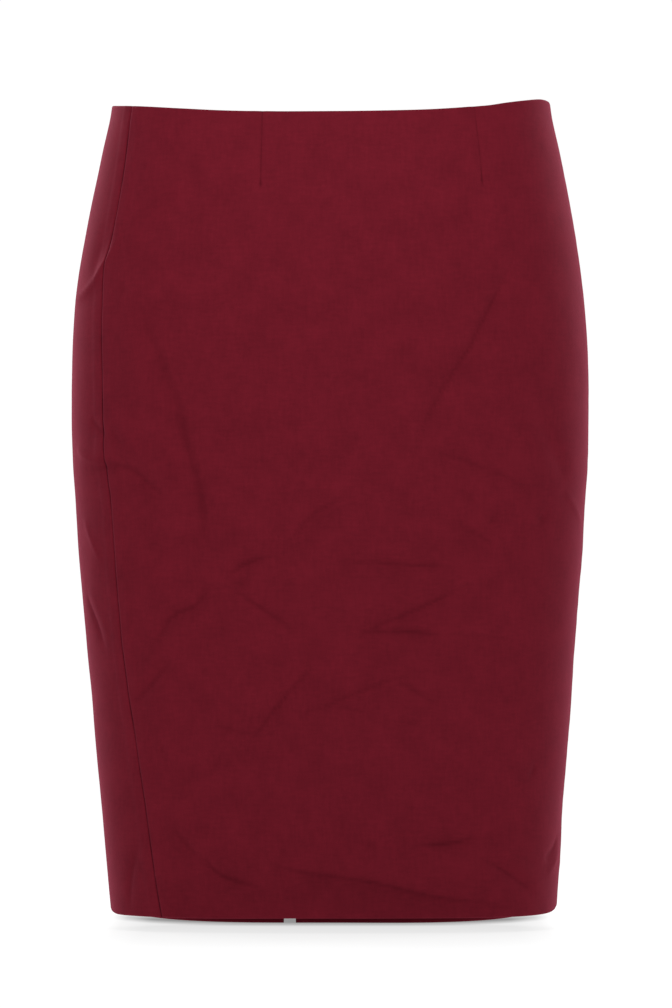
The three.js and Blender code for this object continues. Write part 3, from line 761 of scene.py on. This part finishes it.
def shell_faces(count):
    """Faces of a panel with this many columns: outer face with its rims, inner face, and edges."""
    rows, inner_rows, inner_count = ROW_COUNT + 2 * RIM_ROWS, len(INNER_ROWS), (count + 1) // 2

    def at(j, i):
        return j * count + i

    def inside(j, i):
        return rows * count + j * inner_count + i

    faces = []
    for j in range(rows - 1):
        for i in range(count - 1):
            faces.append((at(j, i), at(j + 1, i), at(j + 1, i + 1), at(j, i + 1)))
    for j in range(inner_rows - 1):
        for i in range(inner_count - 1):
            faces.append((inside(j, i), inside(j, i + 1), inside(j + 1, i + 1), inside(j + 1, i)))
    for i in range(inner_count - 1):
        top, low = ([at(j, 2 * i + k) for k in range(3)] for j in (0, rows - 1))
        faces.append((*top, inside(0, i + 1), inside(0, i)))
        faces.append((*reversed(low), inside(inner_rows - 1, i), inside(inner_rows - 1, i + 1)))
    for edge, inner_edge, way in ((0, 0, -1), (count - 1, inner_count - 1, 1)):
        loops = []
        for j in range(inner_rows - 1):
            outside = [at(RIM_ROWS + k, edge) for k in range(INNER_ROWS[j], INNER_ROWS[j + 1] + 1)]
            loops.append(outside + [inside(j + 1, inner_edge), inside(j, inner_edge)])
        loops.append([at(j, edge) for j in range(RIM_ROWS + 1)] + [inside(0, inner_edge)])
        low_ring = [at(j, edge) for j in range(rows - RIM_ROWS - 1, rows)]
        loops.append(low_ring + [inside(inner_rows - 1, inner_edge)])
        faces += [tuple(loop[::way]) for loop in loops]
    return faces


def cloth_uv(angles, drops):
    return np.stack([round_from_front(angles, drops), -drops], -1).reshape(-1, 2) * MM


def panel(name, guides, shares):
    """A closed shell: outer face, rounded rims at waist and hem, and a plainer inner face."""
    columns = panel_columns(guides, shares)
    if len(columns) % 2 == 0:
        raise ValueError(f"{name} needs an odd number of columns")
    angles, drops = panel_grid(columns)
    outer = cloth_point(angles, drops, np.zeros(drops.shape))
    inner_angles, inner_drops = angles[INNER_ROWS][:, ::2], drops[INNER_ROWS][:, ::2]
    thick = thick_at(inner_angles, inner_drops) + flap_at(inner_angles, inner_drops)
    inner = cloth_point(inner_angles, inner_drops, -thick)
    waist_rim = rim(angles[0], drops[0], top_of(angles[0]), TURN_IN_THICK, -1)
    hem_rim = rim(angles[-1], drops[-1], hem_of(angles[-1]), HEM_THICK, 1)
    points = np.concatenate([*reversed(waist_rim), *outer, *hem_rim, inner.reshape(-1, 3)])
    # The rims take the coordinates and the painted shade of the rows that they start from
    with_rims = ((RIM_ROWS, RIM_ROWS), (0, 0))
    angles, drops = np.pad(angles, with_rims, "edge"), np.pad(drops, with_rims, "edge")
    uvs = np.concatenate([cloth_uv(angles, drops), cloth_uv(inner_angles, inner_drops)])
    shade = np.concatenate([shade_at(angles, drops).ravel(), np.zeros(inner_drops.size)])
    return new_object(name, points, shell_faces(len(columns)), uvs=uvs, shade=shade)


def front_panel():
    left, left_in = seam_guides(LEFT_SEAM, 1)
    right, right_in = seam_guides(RIGHT_SEAM, -1)
    guides = [left, left_in, *dart_guides(DARTS[0]), *dart_guides(DARTS[1]), right_in, right]
    dart = even(DART_COLUMNS)
    shares = [EDGE_IN, stretch(112, 1), dart, stretch(140), dart, stretch(146, -1), EDGE_OUT]
    return panel("front", guides, shares)


def back_panel_right():
    side, side_in = seam_guides(RIGHT_SEAM, 1)
    middle, middle_in = seam_guides(BACK_SEAM, -1)
    guides = [side, side_in, *dart_guides(DARTS[2]), middle_in, middle]
    shares = [EDGE_IN, stretch(185, 1), even(DART_COLUMNS), stretch(54, -1), EDGE_OUT]
    return panel("back_right", guides, shares)


def back_panel_left():
    middle, middle_in = seam_guides(BACK_SEAM, 1)
    side, side_in = seam_guides(LEFT_SEAM, -1, 360.0)
    guides = [middle, middle_in, *dart_guides(DARTS[3]), side_in, side]
    shares = [EDGE_IN, stretch(54, 1), even(DART_COLUMNS), stretch(200, -1), EDGE_OUT]
    return panel("back_left", guides, shares)


def nodes_of(name):
    material = bpy.data.materials.new(name)
    material.use_nodes = True
    tree = material.node_tree
    return material, tree, tree.nodes["Principled BSDF"]


def feed(tree, node, inputs):
    """Gives a node its inputs, each another node's output or a plain value."""
    for key, value in inputs.items():
        if isinstance(value, bpy.types.NodeSocket):
            tree.links.new(value, node.inputs[key])
        else:
            node.inputs[key].default_value = value


def new_node(tree, kind, inputs, **settings):
    node = tree.nodes.new("ShaderNode" + kind)
    for key, value in settings.items():
        setattr(node, key, value)
    feed(tree, node, inputs)
    return node.outputs


def maths(tree, operation, *terms):
    return new_node(tree, "Math", dict(enumerate(terms)), operation=operation)[0]


def weighted(tree, *parts):
    """A sum of node outputs, each times its weight."""
    total = None
    for out, weight in parts:
        term = maths(tree, "MULTIPLY", out, weight)
        total = term if total is None else maths(tree, "ADD", total, term)
    return total


def noise(tree, vector, scale, detail=3.0):
    return new_node(tree, "TexNoise", {"Scale": scale, "Detail": detail, "Vector": vector})[0]


def stretched(tree, vector, across, along):
    return new_node(tree, "VectorMath", {0: vector, 1: (across, along, 1.0)}, operation="MULTIPLY")[0]


def bump(tree, height, strength, distance):
    return new_node(tree, "Bump", {"Height": height, "Strength": strength, "Distance": distance})[0]


def mixed(tree, share, first, second):
    return new_node(tree, "Mix", {"Factor": share, 6: first, 7: second}, data_type="RGBA")[2]


def split(tree, vector):
    return new_node(tree, "SeparateXYZ", {0: vector})


def coordinates(tree, kind="Object"):
    return new_node(tree, "TexCoord", {})[kind]


def ramp_of(tree, factor, stops):
    """A tone through stops in rising order: a place, with a colour or a share of white."""
    node = tree.nodes.new("ShaderNodeValToRGB")
    elements = node.color_ramp.elements
    elements[0].position, elements[1].position = stops[0][0], stops[-1][0]
    for at, _ in stops[1:-1]:
        elements.new(at)
    for element, (_, tone) in zip(elements, stops):
        element.color = tone if isinstance(tone, tuple) else (tone, tone, tone, 1)
    feed(tree, node, {0: factor})
    return node.outputs[0]


CLOTH_DARK = (0.110, 0.0072, 0.0143, 1.0)
CLOTH_LIGHT = (0.163, 0.0103, 0.0206, 1.0)
# The near-black that painted shade darkens the cloth toward
PAINTED_SHADE_COLOUR = (0.012, 0.0010, 0.0022, 1.0)
SHEEN = 0.3
SHEEN_TINT = (1.0, 0.20, 0.33, 1.0)
# Pitches of the weave, in metres of cloth
WARP_PITCH = 0.00048
WEFT_PITCH = 0.00062
TWILL_PITCH = 0.0031


def weave_height(tree, uv):
    """Steep twill lines of a sateen face over its weft, by the cloth's own coordinates."""
    place = split(tree, uv)
    across = maths(tree, "MULTIPLY", place[0], 2 * math.pi / WARP_PITCH)
    along = maths(tree, "MULTIPLY", place[1], 2 * math.pi / WEFT_PITCH)
    lean = maths(tree, "MULTIPLY", place[1], 2 * math.pi / TWILL_PITCH)
    warp = maths(tree, "SINE", maths(tree, "ADD", across, lean))
    return weighted(tree, (warp, 0.55), (maths(tree, "SINE", along), 0.45))


def cloth_material():
    """Sateen with slubs and slow clouding and a tinted sheen, with painted shade that darkens it and
    takes away its sheen in creases, at seams and along darts.
    """
    material, tree, shader = nodes_of("burgundy_cloth")
    uv = new_node(tree, "UVMap", {}, uv_map="Cloth")[0]
    slub = noise(tree, uv, 760.0)
    cloud = noise(tree, uv, 48.0, 4.0)
    picks = noise(tree, stretched(tree, uv, 0.3, 1.0), 420.0, 2.0)
    ends = noise(tree, stretched(tree, uv, 1.0, 0.25), 380.0, 2.0)
    height = maths(tree, "ADD", maths(tree, "MULTIPLY", weave_height(tree, uv), 0.3), slub)
    share = weighted(tree, (slub, 0.15), (cloud, 0.33), (picks, 0.21), (ends, 0.20))
    tone = ramp_of(tree, share, [(0.275, CLOTH_DARK), (0.615, CLOTH_LIGHT)])
    # The painted shade, read from the mesh, darkens the colour and takes away the sheen
    shade = new_node(tree, "Attribute", {}, attribute_name="Shade")["Fac"]
    feed(tree, shader, {
        "Base Color": mixed(tree, shade, tone, PAINTED_SHADE_COLOUR),
        "Roughness": 0.75,
        "Specular IOR Level": 0.011,
        "Sheen Weight": maths(tree, "MULTIPLY", maths(tree, "SUBTRACT", 1.0, shade), SHEEN),
        "Sheen Roughness": 0.4,
        "Sheen Tint": SHEEN_TINT,
        "Normal": bump(tree, height, 0.4, 0.00012),
    })
    return material


def woven_material(name, dark, light, rough, pitch, direction):
    """A ribbed woven band; direction is the Object axis that the ribs cross."""
    material, tree, shader = nodes_of(name)
    place = coordinates(tree)
    across = split(tree, place)[direction]
    ribs = maths(tree, "SINE", maths(tree, "MULTIPLY", across, 2 * math.pi / pitch))
    grain = noise(tree, place, 1400.0)
    tone = weighted(tree, (ribs, 0.25), (grain, 1.0))
    feed(tree, shader, {
        "Base Color": ramp_of(tree, tone, [(0.3, dark), (0.8, light)]),
        "Roughness": rough,
        "Specular IOR Level": 0.08,
        "Sheen Weight": 0.05,
        "Normal": bump(tree, weighted(tree, (ribs, 0.5), (grain, 0.8)), 0.5, 0.0001),
    })
    return material


LACQUER = (0.105, 0.0085, 0.016, 1)
BARE_METAL = (0.26, 0.20, 0.18, 1)
WEAR_LEVEL = 3.68


def lacquer_material():
    """Zip metal lacquered to match the cloth, worn to bare metal on its proudest edges."""
    material, tree, shader = nodes_of("lacquered_metal")
    place = coordinates(tree)
    pointed = new_node(tree, "NewGeometry", {})["Pointiness"]
    speckle = noise(tree, place, 900.0)
    scuff = noise(tree, place, 260.0)
    worn = maths(tree, "SUBTRACT", weighted(tree, (pointed, 6.0), (scuff, 1.1)), WEAR_LEVEL)
    bare = ramp_of(tree, worn, [(0.30, 0.0), (0.42, 1.0)])
    feed(tree, shader, {
        "Base Color": mixed(tree, bare, LACQUER, BARE_METAL),
        "Metallic": bare,
        "Roughness": maths(tree, "ADD", maths(tree, "MULTIPLY", speckle, 0.2), 0.4),
        "Specular IOR Level": 0.22,
        "Normal": bump(tree, speckle, 0.15, 0.00005),
    })
    return material


def give(obj, material, body=ROOT, nodes=()):
    obj.data.materials.clear()
    obj.data.materials.append(material)
    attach(obj, body)
    if nodes:
        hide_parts(*nodes)
    return obj


def seam_place(drop, aside, lift):
    """A place by the back seam, a distance to its side and a lift from the smooth form."""
    line = seam_angle(BACK_SEAM, drop)
    angle = beside(line, drop, aside)
    return body_point(angle, drop) + body_normal(angle, drop) * np.asarray(lift, float)[..., None]


def closed_grid(outer, inner):
    """A slab's faces between two grids of points of the same shape."""
    rows, columns = outer.shape[:2]
    points = np.concatenate([outer.reshape(-1, 3), inner.reshape(-1, 3)])
    base = rows * columns
    faces = []
    for j in range(rows - 1):
        for i in range(columns - 1):
            a, b = j * columns + i, (j + 1) * columns + i
            faces += [(a, b, b + 1, a + 1), (base + a + 1, base + b + 1, base + b, base + a)]
    for i in range(columns - 1):
        top, low = i, (rows - 1) * columns + i
        faces += [(top, top + 1, base + top + 1, base + top), (low + 1, low, base + low, base + low + 1)]
    for j in range(rows - 1):
        near, far = j * columns, (j + 1) * columns - 1
        faces.append((near + columns, near, base + near, base + near + columns))
        faces.append((far, far + columns, base + far + columns, base + far))
    return points, faces


def tube_faces(rings, sides, base=0):
    """Faces that join rings of points one after another, with a cap at each end."""
    faces = []
    for j in range(rings - 1):
        here, there = base + j * sides, base + (j + 1) * sides
        for k in range(sides):
            n = (k + 1) % sides
            faces.append((here + k, here + n, there + n, there + k))
    last = base + (rings - 1) * sides
    faces.append(tuple(reversed(range(base, base + sides))))
    faces.append(tuple(range(last, last + sides)))
    return faces


TAPE_STEP = 1.2
TAPE_SHARES = np.array([0, 0.03, 0.07, 0.12, 0.18, 0.3, 0.45, 0.6, 0.75, 0.88, 0.95, 1.0])
TAPE_CLEAR = 0.5
TAPE_WAVE = 0.05
TAPE_WAVE_RATE = 0.21
# The cord in the tape's inner edge, its place and width as shares of the tape
CORD_THICK = 0.16
CORD_PLACE = 0.09
CORD_WIDTH = 0.05


def zip_tape(name, side):
    """A woven tape with a cord along its inner edge, lying inside the panel beside the seam."""
    drops = np.arange(TAPE_TOP, TAPE_END + 0.1, TAPE_STEP)
    down = np.repeat(drops[:, None], len(TAPE_SHARES), 1)
    near = back_gap(down) + SEAM_GAP
    aside = near + (TAPE_WIDTH - near) * TAPE_SHARES
    wave = TAPE_WAVE * np.sin(down * TAPE_WAVE_RATE + side) * (1 - TAPE_SHARES)
    depth = thick_at(seam_angle(BACK_SEAM, down), down) + TAPE_CLEAR + wave
    cord = CORD_THICK * np.exp(-(((TAPE_SHARES - CORD_PLACE) / CORD_WIDTH) ** 2))
    outer = seam_place(down, side * aside, -depth)
    inner = seam_place(down, side * aside, -depth - TAPE_THICK - cord)
    if side < 0:
        outer, inner = outer[:, ::-1], inner[:, ::-1]
    return new_object(name, *closed_grid(outer, inner))


COIL_PITCH = 1.25
COIL_SQUEEZE = 0.995
COIL_TURN = 14
COIL_WIRE = 0.3
COIL_SIDES = 6
# Half width and half depth of a loop, and where its middle lies beside the seam and behind the tape
LOOP_WIDE = 1.0
LOOP_DEEP = 0.42
LOOP_ASIDE = 0.78
LOOP_BEHIND = 1.0


def coil_half(side):
    """One half of the closed coil: a flattened spiral whose turns mesh with the other half's."""
    turns = int((COIL_END - COIL_TOP) / COIL_PITCH)
    t = np.arange(turns * COIL_TURN + 1) / COIL_TURN
    drop = COIL_TOP + COIL_PITCH * (t + (0.5 if side > 0 else 0.0)) * COIL_SQUEEZE
    turn = 2 * math.pi * t
    middle = thick_at(seam_angle(BACK_SEAM, drop), drop) + TAPE_CLEAR + TAPE_THICK + LOOP_BEHIND
    points = []
    for k in range(COIL_SIDES):
        round_wire = 2 * math.pi * k / COIL_SIDES
        out = COIL_WIRE * math.cos(round_wire)
        aside = side * (LOOP_ASIDE + (LOOP_WIDE + out) * np.cos(turn))
        lift = -middle + (LOOP_DEEP + out) * np.sin(turn)
        points.append(seam_place(drop + COIL_WIRE * math.sin(round_wire), aside, lift))
    faces = tube_faces(len(t), COIL_SIDES)
    return np.stack(points, 1).reshape(-1, 3), faces if side > 0 else [face[::-1] for face in faces]


def merged(*parts):
    """Points and faces of several closed forms as one."""
    points, faces, base = [], [], 0
    for more, theirs in parts:
        points.append(np.asarray(more, float))
        faces += [tuple(v + base for v in face) for face in theirs]
        base += len(more)
    return np.concatenate(points), faces


def slider_frame():
    """The slider's own frame: across the seam, out of the cloth, and up along the zip."""
    angle = seam_angle(BACK_SEAM, SLIDER_DROP)
    out = body_normal(angle, SLIDER_DROP)
    up = body_point(angle, SLIDER_DROP - 2) - body_point(angle, SLIDER_DROP + 2)
    up /= np.linalg.norm(up)
    across = np.cross(out, up)
    return body_point(angle, SLIDER_DROP), np.stack([across / np.linalg.norm(across), out, up])


FRAME_AT, FRAME_AXES = slider_frame()


def in_slider_frame(name, *parts):
    points, faces = merged(*parts)
    return new_object(name, FRAME_AT + points @ FRAME_AXES, faces)


def rounded(outline, radius, steps=4):
    """A closed outline with each corner turned by an arc-like curve of about this radius."""
    outline = [np.array(p, float) for p in outline]
    points = []
    for index, corner in enumerate(outline):
        before, after = outline[index - 1], outline[(index + 1) % len(outline)]
        to_before, to_after = before - corner, after - corner
        reach = min(radius, 0.45 * np.linalg.norm(to_before), 0.45 * np.linalg.norm(to_after))
        start = corner + to_before / np.linalg.norm(to_before) * reach
        end = corner + to_after / np.linalg.norm(to_after) * reach
        for k in range(steps + 1):
            t = k / steps
            points.append((1 - t) ** 2 * start + 2 * t * (1 - t) * corner + t * t * end)
    return np.array(points)


def bevelled_plate(outline, near, far, bevel, steps=3):
    """A plate between two depths over an anticlockwise outline (across, up), its rims rounded."""
    before, after = np.roll(outline, 1, 0), np.roll(outline, -1, 0)
    run = after - before
    inward = np.stack([-run[:, 1], run[:, 0]], 1) / np.linalg.norm(run, axis=1, keepdims=True)
    rings = []
    for k in range(steps + 1):
        turn = math.pi / 2 * k / steps
        ring = outline + inward * bevel * (1 - math.sin(turn))
        rings.append((ring, near + bevel * (1 - math.cos(turn))))
    rings += [(ring, far + near - depth) for ring, depth in reversed(rings)]
    count = len(outline)
    points = [np.column_stack([ring[:, 0], np.full(count, depth), ring[:, 1]]) for ring, depth in rings]
    return np.concatenate(points), tube_faces(len(rings), count)


def rectangle(wide, tall, at_up=0.0):
    w, t = wide / 2, tall / 2
    return [(-w, at_up - t), (w, at_up - t), (w, at_up + t), (-w, at_up + t)]


def both_sides(half):
    """An outline from its left half, given downward, and the same half mirrored."""
    return half + [(-across, up) for across, up in reversed(half)]


def bar(radius, half_length, at, sides=16, bevel=0.12):
    """A round bar across the seam with eased ends."""
    stations = [(-half_length, radius - bevel), (-half_length + bevel, radius)]
    stations += [(half_length - bevel, radius), (half_length, radius - bevel)]
    points = []
    for x, r in stations:
        for k in range(sides):
            turn = 2 * math.pi * k / sides
            points.append((at[0] + x, at[1] + r * math.cos(turn), at[2] + r * math.sin(turn)))
    return np.array(points), tube_faces(len(stations), sides)


# Distances out of the cloth's face, in the slider's frame
PLATE_NEAR, PLATE_FAR = 0.3, 1.1
BRIDGE_TOP = 2.6
BRIDGE_THICK = 0.9
POST_UP = 2.95
PIN_OUT = 1.85
BODY_NEAR, BODY_FAR = -5.8, -3.8


def zip_slider():
    """The shield-shaped body behind the tapes, its neck, and the plate and bridge outside."""
    shield = both_sides([(-1.9, 4.5), (-2.6, 2.2), (-2.2, -1.0), (-1.7, -4.5)])
    plate = both_sides([(-1.5, 4.0), (-2.1, 1.2), (-1.7, -4.0)])
    posts = [rounded(rectangle(1.2, 1.1, up), 0.3) for up in (POST_UP, -POST_UP)]
    return in_slider_frame(
        "slider",
        bevelled_plate(rounded(shield, 1.1), BODY_NEAR, BODY_FAR, 0.3),
        bevelled_plate(rounded(rectangle(1.2, 5), 0.4), BODY_FAR - 0.1, PLATE_NEAR + 0.1, 0.05),
        bevelled_plate(rounded(plate, 0.9), PLATE_NEAR, PLATE_FAR, 0.2),
        *(bevelled_plate(post, PLATE_FAR - 0.1, BRIDGE_TOP + 0.3, 0.05) for post in posts),
        bevelled_plate(rounded(rectangle(1.2, 7), 0.5), BRIDGE_TOP, BRIDGE_TOP + BRIDGE_THICK, 0.25),
    )


PULL_HALF_THICK = 0.5
EYE_ASIDE = 1.6


def zip_pull():
    """A forked tab on a pin: two eyed arms, a waisted neck and a rounded end with a pressed rim."""
    tab = both_sides([
        (-1.1, -0.1), (-2.1, -0.1), (-2.1, -5.2), (-1.75, -8.0),
        (-2.9, -16.6), (-2.6, -18.8), (-1.1, -20.0),
    ])
    tab += [(1.1, -5.0), (-1.1, -5.0)]
    rim_line = both_sides([(-1.35, -10.5), (-1.95, -16.2), (-1.2, -18.4)])
    near, far = PIN_OUT - PULL_HALF_THICK, PIN_OUT + PULL_HALF_THICK
    return in_slider_frame(
        "pull",
        bevelled_plate(rounded(tab, 0.45), near, far, 0.2),
        bevelled_plate(rounded(rim_line, 0.8), far - 0.1, far + 0.12, 0.1),
        bar(0.45, 2.1, (0, PIN_OUT, 0)),
        *(bar(0.55, 0.5, (aside, PIN_OUT, 0)) for aside in (-EYE_ASIDE, EYE_ASIDE)),
    )


# Along a stitch: share of its length, share of its thickness
STITCH_STATIONS = [(0.0, 0.35), (0.12, 1.0), (0.5, 1.0), (0.88, 1.0), (1.0, 0.35)]
STITCH_SIDES = 6


def stitch_row(name, starts, ends, rises, wire, arch):
    """Short threads from start to end points, each bowed off the cloth along its rise direction."""
    points, faces = [], []
    for start, end, rise in zip(starts, ends, rises):
        along = (end - start) / np.linalg.norm(end - start)
        side = np.cross(along, rise)
        faces += tube_faces(len(STITCH_STATIONS), STITCH_SIDES, len(points))
        for share, size in STITCH_STATIONS:
            middle = start + (end - start) * share + rise * arch * math.sin(math.pi * share)
            for k in range(STITCH_SIDES):
                turn = 2 * math.pi * k / STITCH_SIDES
                points.append(middle + wire * size * (side * math.cos(turn) + rise * math.sin(turn)))
    return new_object(name, np.array(points), faces)


def inside_place(angle, drop):
    """A place on the inner face, and the direction that leads off it into the hollow."""
    depth = thick_at(angle, drop) + flap_at(angle, drop)
    return cloth_point(angle, drop, -depth), -body_normal(angle, drop)


# Where the inner stitching runs, from the turn-in's, the turn-up's and the allowances' edges, and
# its threads: radius, and how far they bow off the cloth
HEM_BELOW, HEM_ABOVE, HEM_LEAN = 1.6, 2.6, 2.2
HEM_JITTER, HEM_SEED = 0.3, 11
HEM_WIRE, HEM_ARCH = 0.16, 0.35
WAIST_WIRE, WAIST_ARCH = 0.17, 0.12
OVERLOCK_WIRE, OVERLOCK_ARCH = 0.16, 0.22
WAIST_ABOVE = 3.0
WAIST_STITCH = 2.5
OVERLOCK_STEP = 2.4
OVERLOCK_IN, OVERLOCK_OUT = 3.4, 0.15
OVERLOCK_LEAN = 1.2


def hem_stitches(name, angles):
    """Blind stitches that hold the turn-up: slanted threads over its top edge on the inside."""
    jitter = np.random.default_rng(HEM_SEED).uniform(-HEM_JITTER, HEM_JITTER, len(angles))
    low, _ = inside_place(angles, hem_of(angles) - HEM_HEIGHT + HEM_BELOW + jitter)
    leaning = beside(angles, hem_of(angles) - HEM_HEIGHT, HEM_LEAN)
    high, rises = inside_place(leaning, hem_of(leaning) - HEM_HEIGHT - HEM_ABOVE + jitter)
    return stitch_row(name, low, high, rises, HEM_WIRE, HEM_ARCH)


def waist_stitches(name, angles):
    """A row of machine stitches inside, just above the lower edge of the turn-in."""
    drops = top_of(angles) + TURN_IN_HEIGHT - WAIST_ABOVE
    starts, _ = inside_place(angles, drops)
    after = beside(angles, drops, WAIST_STITCH)
    ends, rises = inside_place(after, top_of(after) + TURN_IN_HEIGHT - WAIST_ABOVE)
    return stitch_row(name, starts, ends, rises, WAIST_WIRE, WAIST_ARCH)


def overlock(name, rows, side, first, last):
    """Looped threads over the raw edge of a seam's allowance on the inside."""
    drops = np.arange(first, last, OVERLOCK_STEP)
    line = seam_angle(rows, drops)
    reach = half_gap(rows, drops) + ALLOWANCE_WIDTH
    inner = beside(line, drops, side * (reach - OVERLOCK_IN))
    outer = beside(line, drops + OVERLOCK_LEAN, side * (reach - OVERLOCK_OUT))
    starts, rises = inside_place(inner, drops)
    ends, _ = inside_place(outer, drops + OVERLOCK_LEAN)
    return stitch_row(name, starts, ends, rises, OVERLOCK_WIRE, OVERLOCK_ARCH)


cloth = cloth_material()
front = give(front_panel(), cloth, nodes=("front_panel",))
back_right = give(back_panel_right(), cloth, nodes=("back_panel_right",))
back_left = give(back_panel_left(), cloth, nodes=("back_panel_left",))

# name, dark, light, roughness, pitch of the ribs, the Object axis that they cross
WOVEN = [
    ("tape_weave", (0.070, 0.0036, 0.0085, 1), (0.125, 0.0068, 0.0155, 1), 0.8, 0.0009, 2),
    ("nylon", (0.075, 0.0040, 0.009, 1), (0.120, 0.007, 0.015, 1), 0.42, 0.0016, 0),
    ("thread", (0.12, 0.0075, 0.0165, 1), (0.20, 0.014, 0.030, 1), 0.6, 0.0004, 2),
]
tape_weave, nylon, thread = (woven_material(*row) for row in WOVEN)
metal = lacquer_material()
for name, side in (("zip_tape_right", -1), ("zip_tape_left", 1)):
    strip = give(zip_tape(name + "_weave", side), tape_weave, nodes=(name,))
coil = new_object("coil_loops", *merged(coil_half(-1), coil_half(1)))
give(coil, nylon, nodes=("zip_coil",))
give(zip_slider(), metal, nodes=("zip_slider",))
give(zip_pull(), metal, body="pull", nodes=("zip_pull",))

# panel, first and last angle of its stitching, stitches at the hem, stitches at the waist
SEWN = [
    ("front", -44.5, 88.5, 61, 115),
    ("back_right", 98.0, 186.0, 40, 76),
    ("back_left", 196.0, 296.0, 34, 64),
]
for name, first, last, at_hem, at_waist in SEWN:
    give(hem_stitches("hem_thread_" + name, np.linspace(first, last, at_hem)), thread)
    give(waist_stitches("waist_thread_" + name, np.linspace(first, last, at_waist)), thread)
# seam, its rows, first drop of its overlocking
OVERLOCKED = [("left", LEFT_SEAM, 42.0), ("right", RIGHT_SEAM, 42.0), ("back", BACK_SEAM, 203.0)]
OVERLOCK_END = 546.0
for name, rows, first in OVERLOCKED:
    for edge, side in (("a", -1), ("b", 1)):
        give(overlock(f"overlock_{name}_{edge}", rows, side, first, OVERLOCK_END), thread)


# Floor, light and camera
FLOOR_HALF = 60.0
FLOOR_GAP = 0.4
LOWEST = 599.7
CAMERA_FAR = 5.0
CAMERA_RISE = 1.5
CAMERA_AIM = Vector((0.0039, 0.0, -0.2912))
FRAME_HEIGHT = 0.7338
SENSOR = 36.0
# The shadow painted on the floor grows from SHADE_START metres of depth toward the hem and falls behind
# it, by shares of SHADE_SPAN. It grows later to the sides, as the hem bows, and fades there by shares of
# SIDE_SPAN.
SHADE_START = -0.6
SHADE_SPAN = 1.6
SHADE_STOPS = [
    (0.0, 0.0), (0.10, 0.06), (0.19, 0.12), (0.28, 0.17),
    (0.35, 0.21), (0.405, 0.24), (0.43, 0.50), (0.46, 0.78),
]
FALL_STOPS = [(0.0, 1.0), (0.50, 1.0), (0.5625, 0.62), (0.625, 0.30), (0.69, 0.10), (0.76, 0.0)]
SHADE_BOW = 200.0
SIDE_SPAN = 0.25
SIDE_STOPS = [(0.0, 1.0), (0.54, 1.0), (0.62, 0.7), (0.67, 0.15), (0.76, 0.0), (1.0, 0.0)]
FLOOR_ALBEDO = 0.12
WHITE = (1, 1, 1, 1)
# Brightness of the studio round the skirt, from straight below (0) to straight above (1)
WORLD_STOPS = [(0.0, 0.2), (0.44, 0.2), (0.47, 1.02), (0.56, 1.02), (0.60, 0.2), (1.0, 0.2)]
# name, place, aim, size, power
LIGHTS = [
    ("key", (-0.02, -0.78, 0.88), (0, 0, -0.22), (1.1, 0.5), 10.6),
    ("back_key", (0.15, 1.2, 0.9), (0, 0, -0.25), (0.8, 0.5), 4.5),
    ("left_rim", (-0.80, 0.95, 0.46), (-0.1, 0, -0.08), (0.35, 0.8), 7.0),
    ("right_rim", (0.92, 0.85, 0.46), (0.1, 0, -0.08), (0.35, 0.8), 6.8),
]


def floor_material():
    """White by its own glow, less a soft shadow painted round the hem."""
    material, tree, shader = nodes_of("floor")
    place = split(tree, coordinates(tree))
    side = maths(tree, "ABSOLUTE", place[0])
    bow = maths(tree, "MULTIPLY", maths(tree, "POWER", side, 4.0), SHADE_BOW)
    depth = maths(tree, "SUBTRACT", place[1], SHADE_START)
    bowed = maths(tree, "SUBTRACT", depth, bow)
    shade = ramp_of(tree, maths(tree, "DIVIDE", bowed, SHADE_SPAN), SHADE_STOPS)
    fall = ramp_of(tree, maths(tree, "DIVIDE", depth, SHADE_SPAN), FALL_STOPS)
    fade = ramp_of(tree, maths(tree, "DIVIDE", side, SIDE_SPAN), SIDE_STOPS)
    # The painted shadow, which dims the floor's glow
    shade = maths(tree, "MULTIPLY", maths(tree, "MULTIPLY", shade, fall), fade)
    feed(tree, shader, {
        "Base Color": (FLOOR_ALBEDO, FLOOR_ALBEDO, FLOOR_ALBEDO, 1),
        "Roughness": 0.9,
        "Specular IOR Level": 0.0,
        "Emission Color": WHITE,
        "Emission Strength": maths(tree, "SUBTRACT", 1.0, shade),
    })
    return material


def floor():
    z = -(LOWEST + FLOOR_GAP) * MM
    corners = [(x * FLOOR_HALF, y * FLOOR_HALF, z) for x, y in ((-1, -1), (1, -1), (1, 1), (-1, 1))]
    mesh = bpy.data.meshes.new("floor")
    mesh.from_pydata(corners, [], [(0, 1, 2, 3)])
    mesh.materials.append(floor_material())
    show("floor", mesh)


def area_light(name, at, aim, size, power):
    data = bpy.data.lights.new(name, "AREA")
    data.shape = "RECTANGLE"
    data.size, data.size_y = size
    data.energy = power
    obj = show(name, data)
    obj.location = at
    obj.rotation_euler = (Vector(aim) - Vector(at)).to_track_quat("-Z", "Y").to_euler()


def world():
    scene = bpy.context.scene
    scene.world = bpy.data.worlds.new("studio")
    scene.world.use_nodes = True
    tree = scene.world.node_tree
    up = split(tree, coordinates(tree, "Generated"))[2]
    height = maths(tree, "MULTIPLY_ADD", up, 0.5, 0.5)
    feed(tree, tree.nodes["Background"], {"Color": ramp_of(tree, height, WORLD_STOPS), "Strength": 1.0})
    scene.view_settings.view_transform = "Standard"
    scene.view_settings.look = "None"


def camera():
    data = bpy.data.cameras.new("camera")
    data.sensor_fit = "VERTICAL"
    data.sensor_height = SENSOR
    data.lens = SENSOR * CAMERA_FAR / FRAME_HEIGHT
    data.clip_end = 50
    obj = show("camera", data)
    rise = math.radians(CAMERA_RISE)
    forward = Vector((0, math.cos(rise), math.sin(rise)))
    obj.location = CAMERA_AIM - CAMERA_FAR * forward
    obj.rotation_euler = forward.to_track_quat("-Z", "Y").to_euler()
    bpy.context.scene.camera = obj


floor()
world()
for light in LIGHTS:
    area_light(*light)
camera()
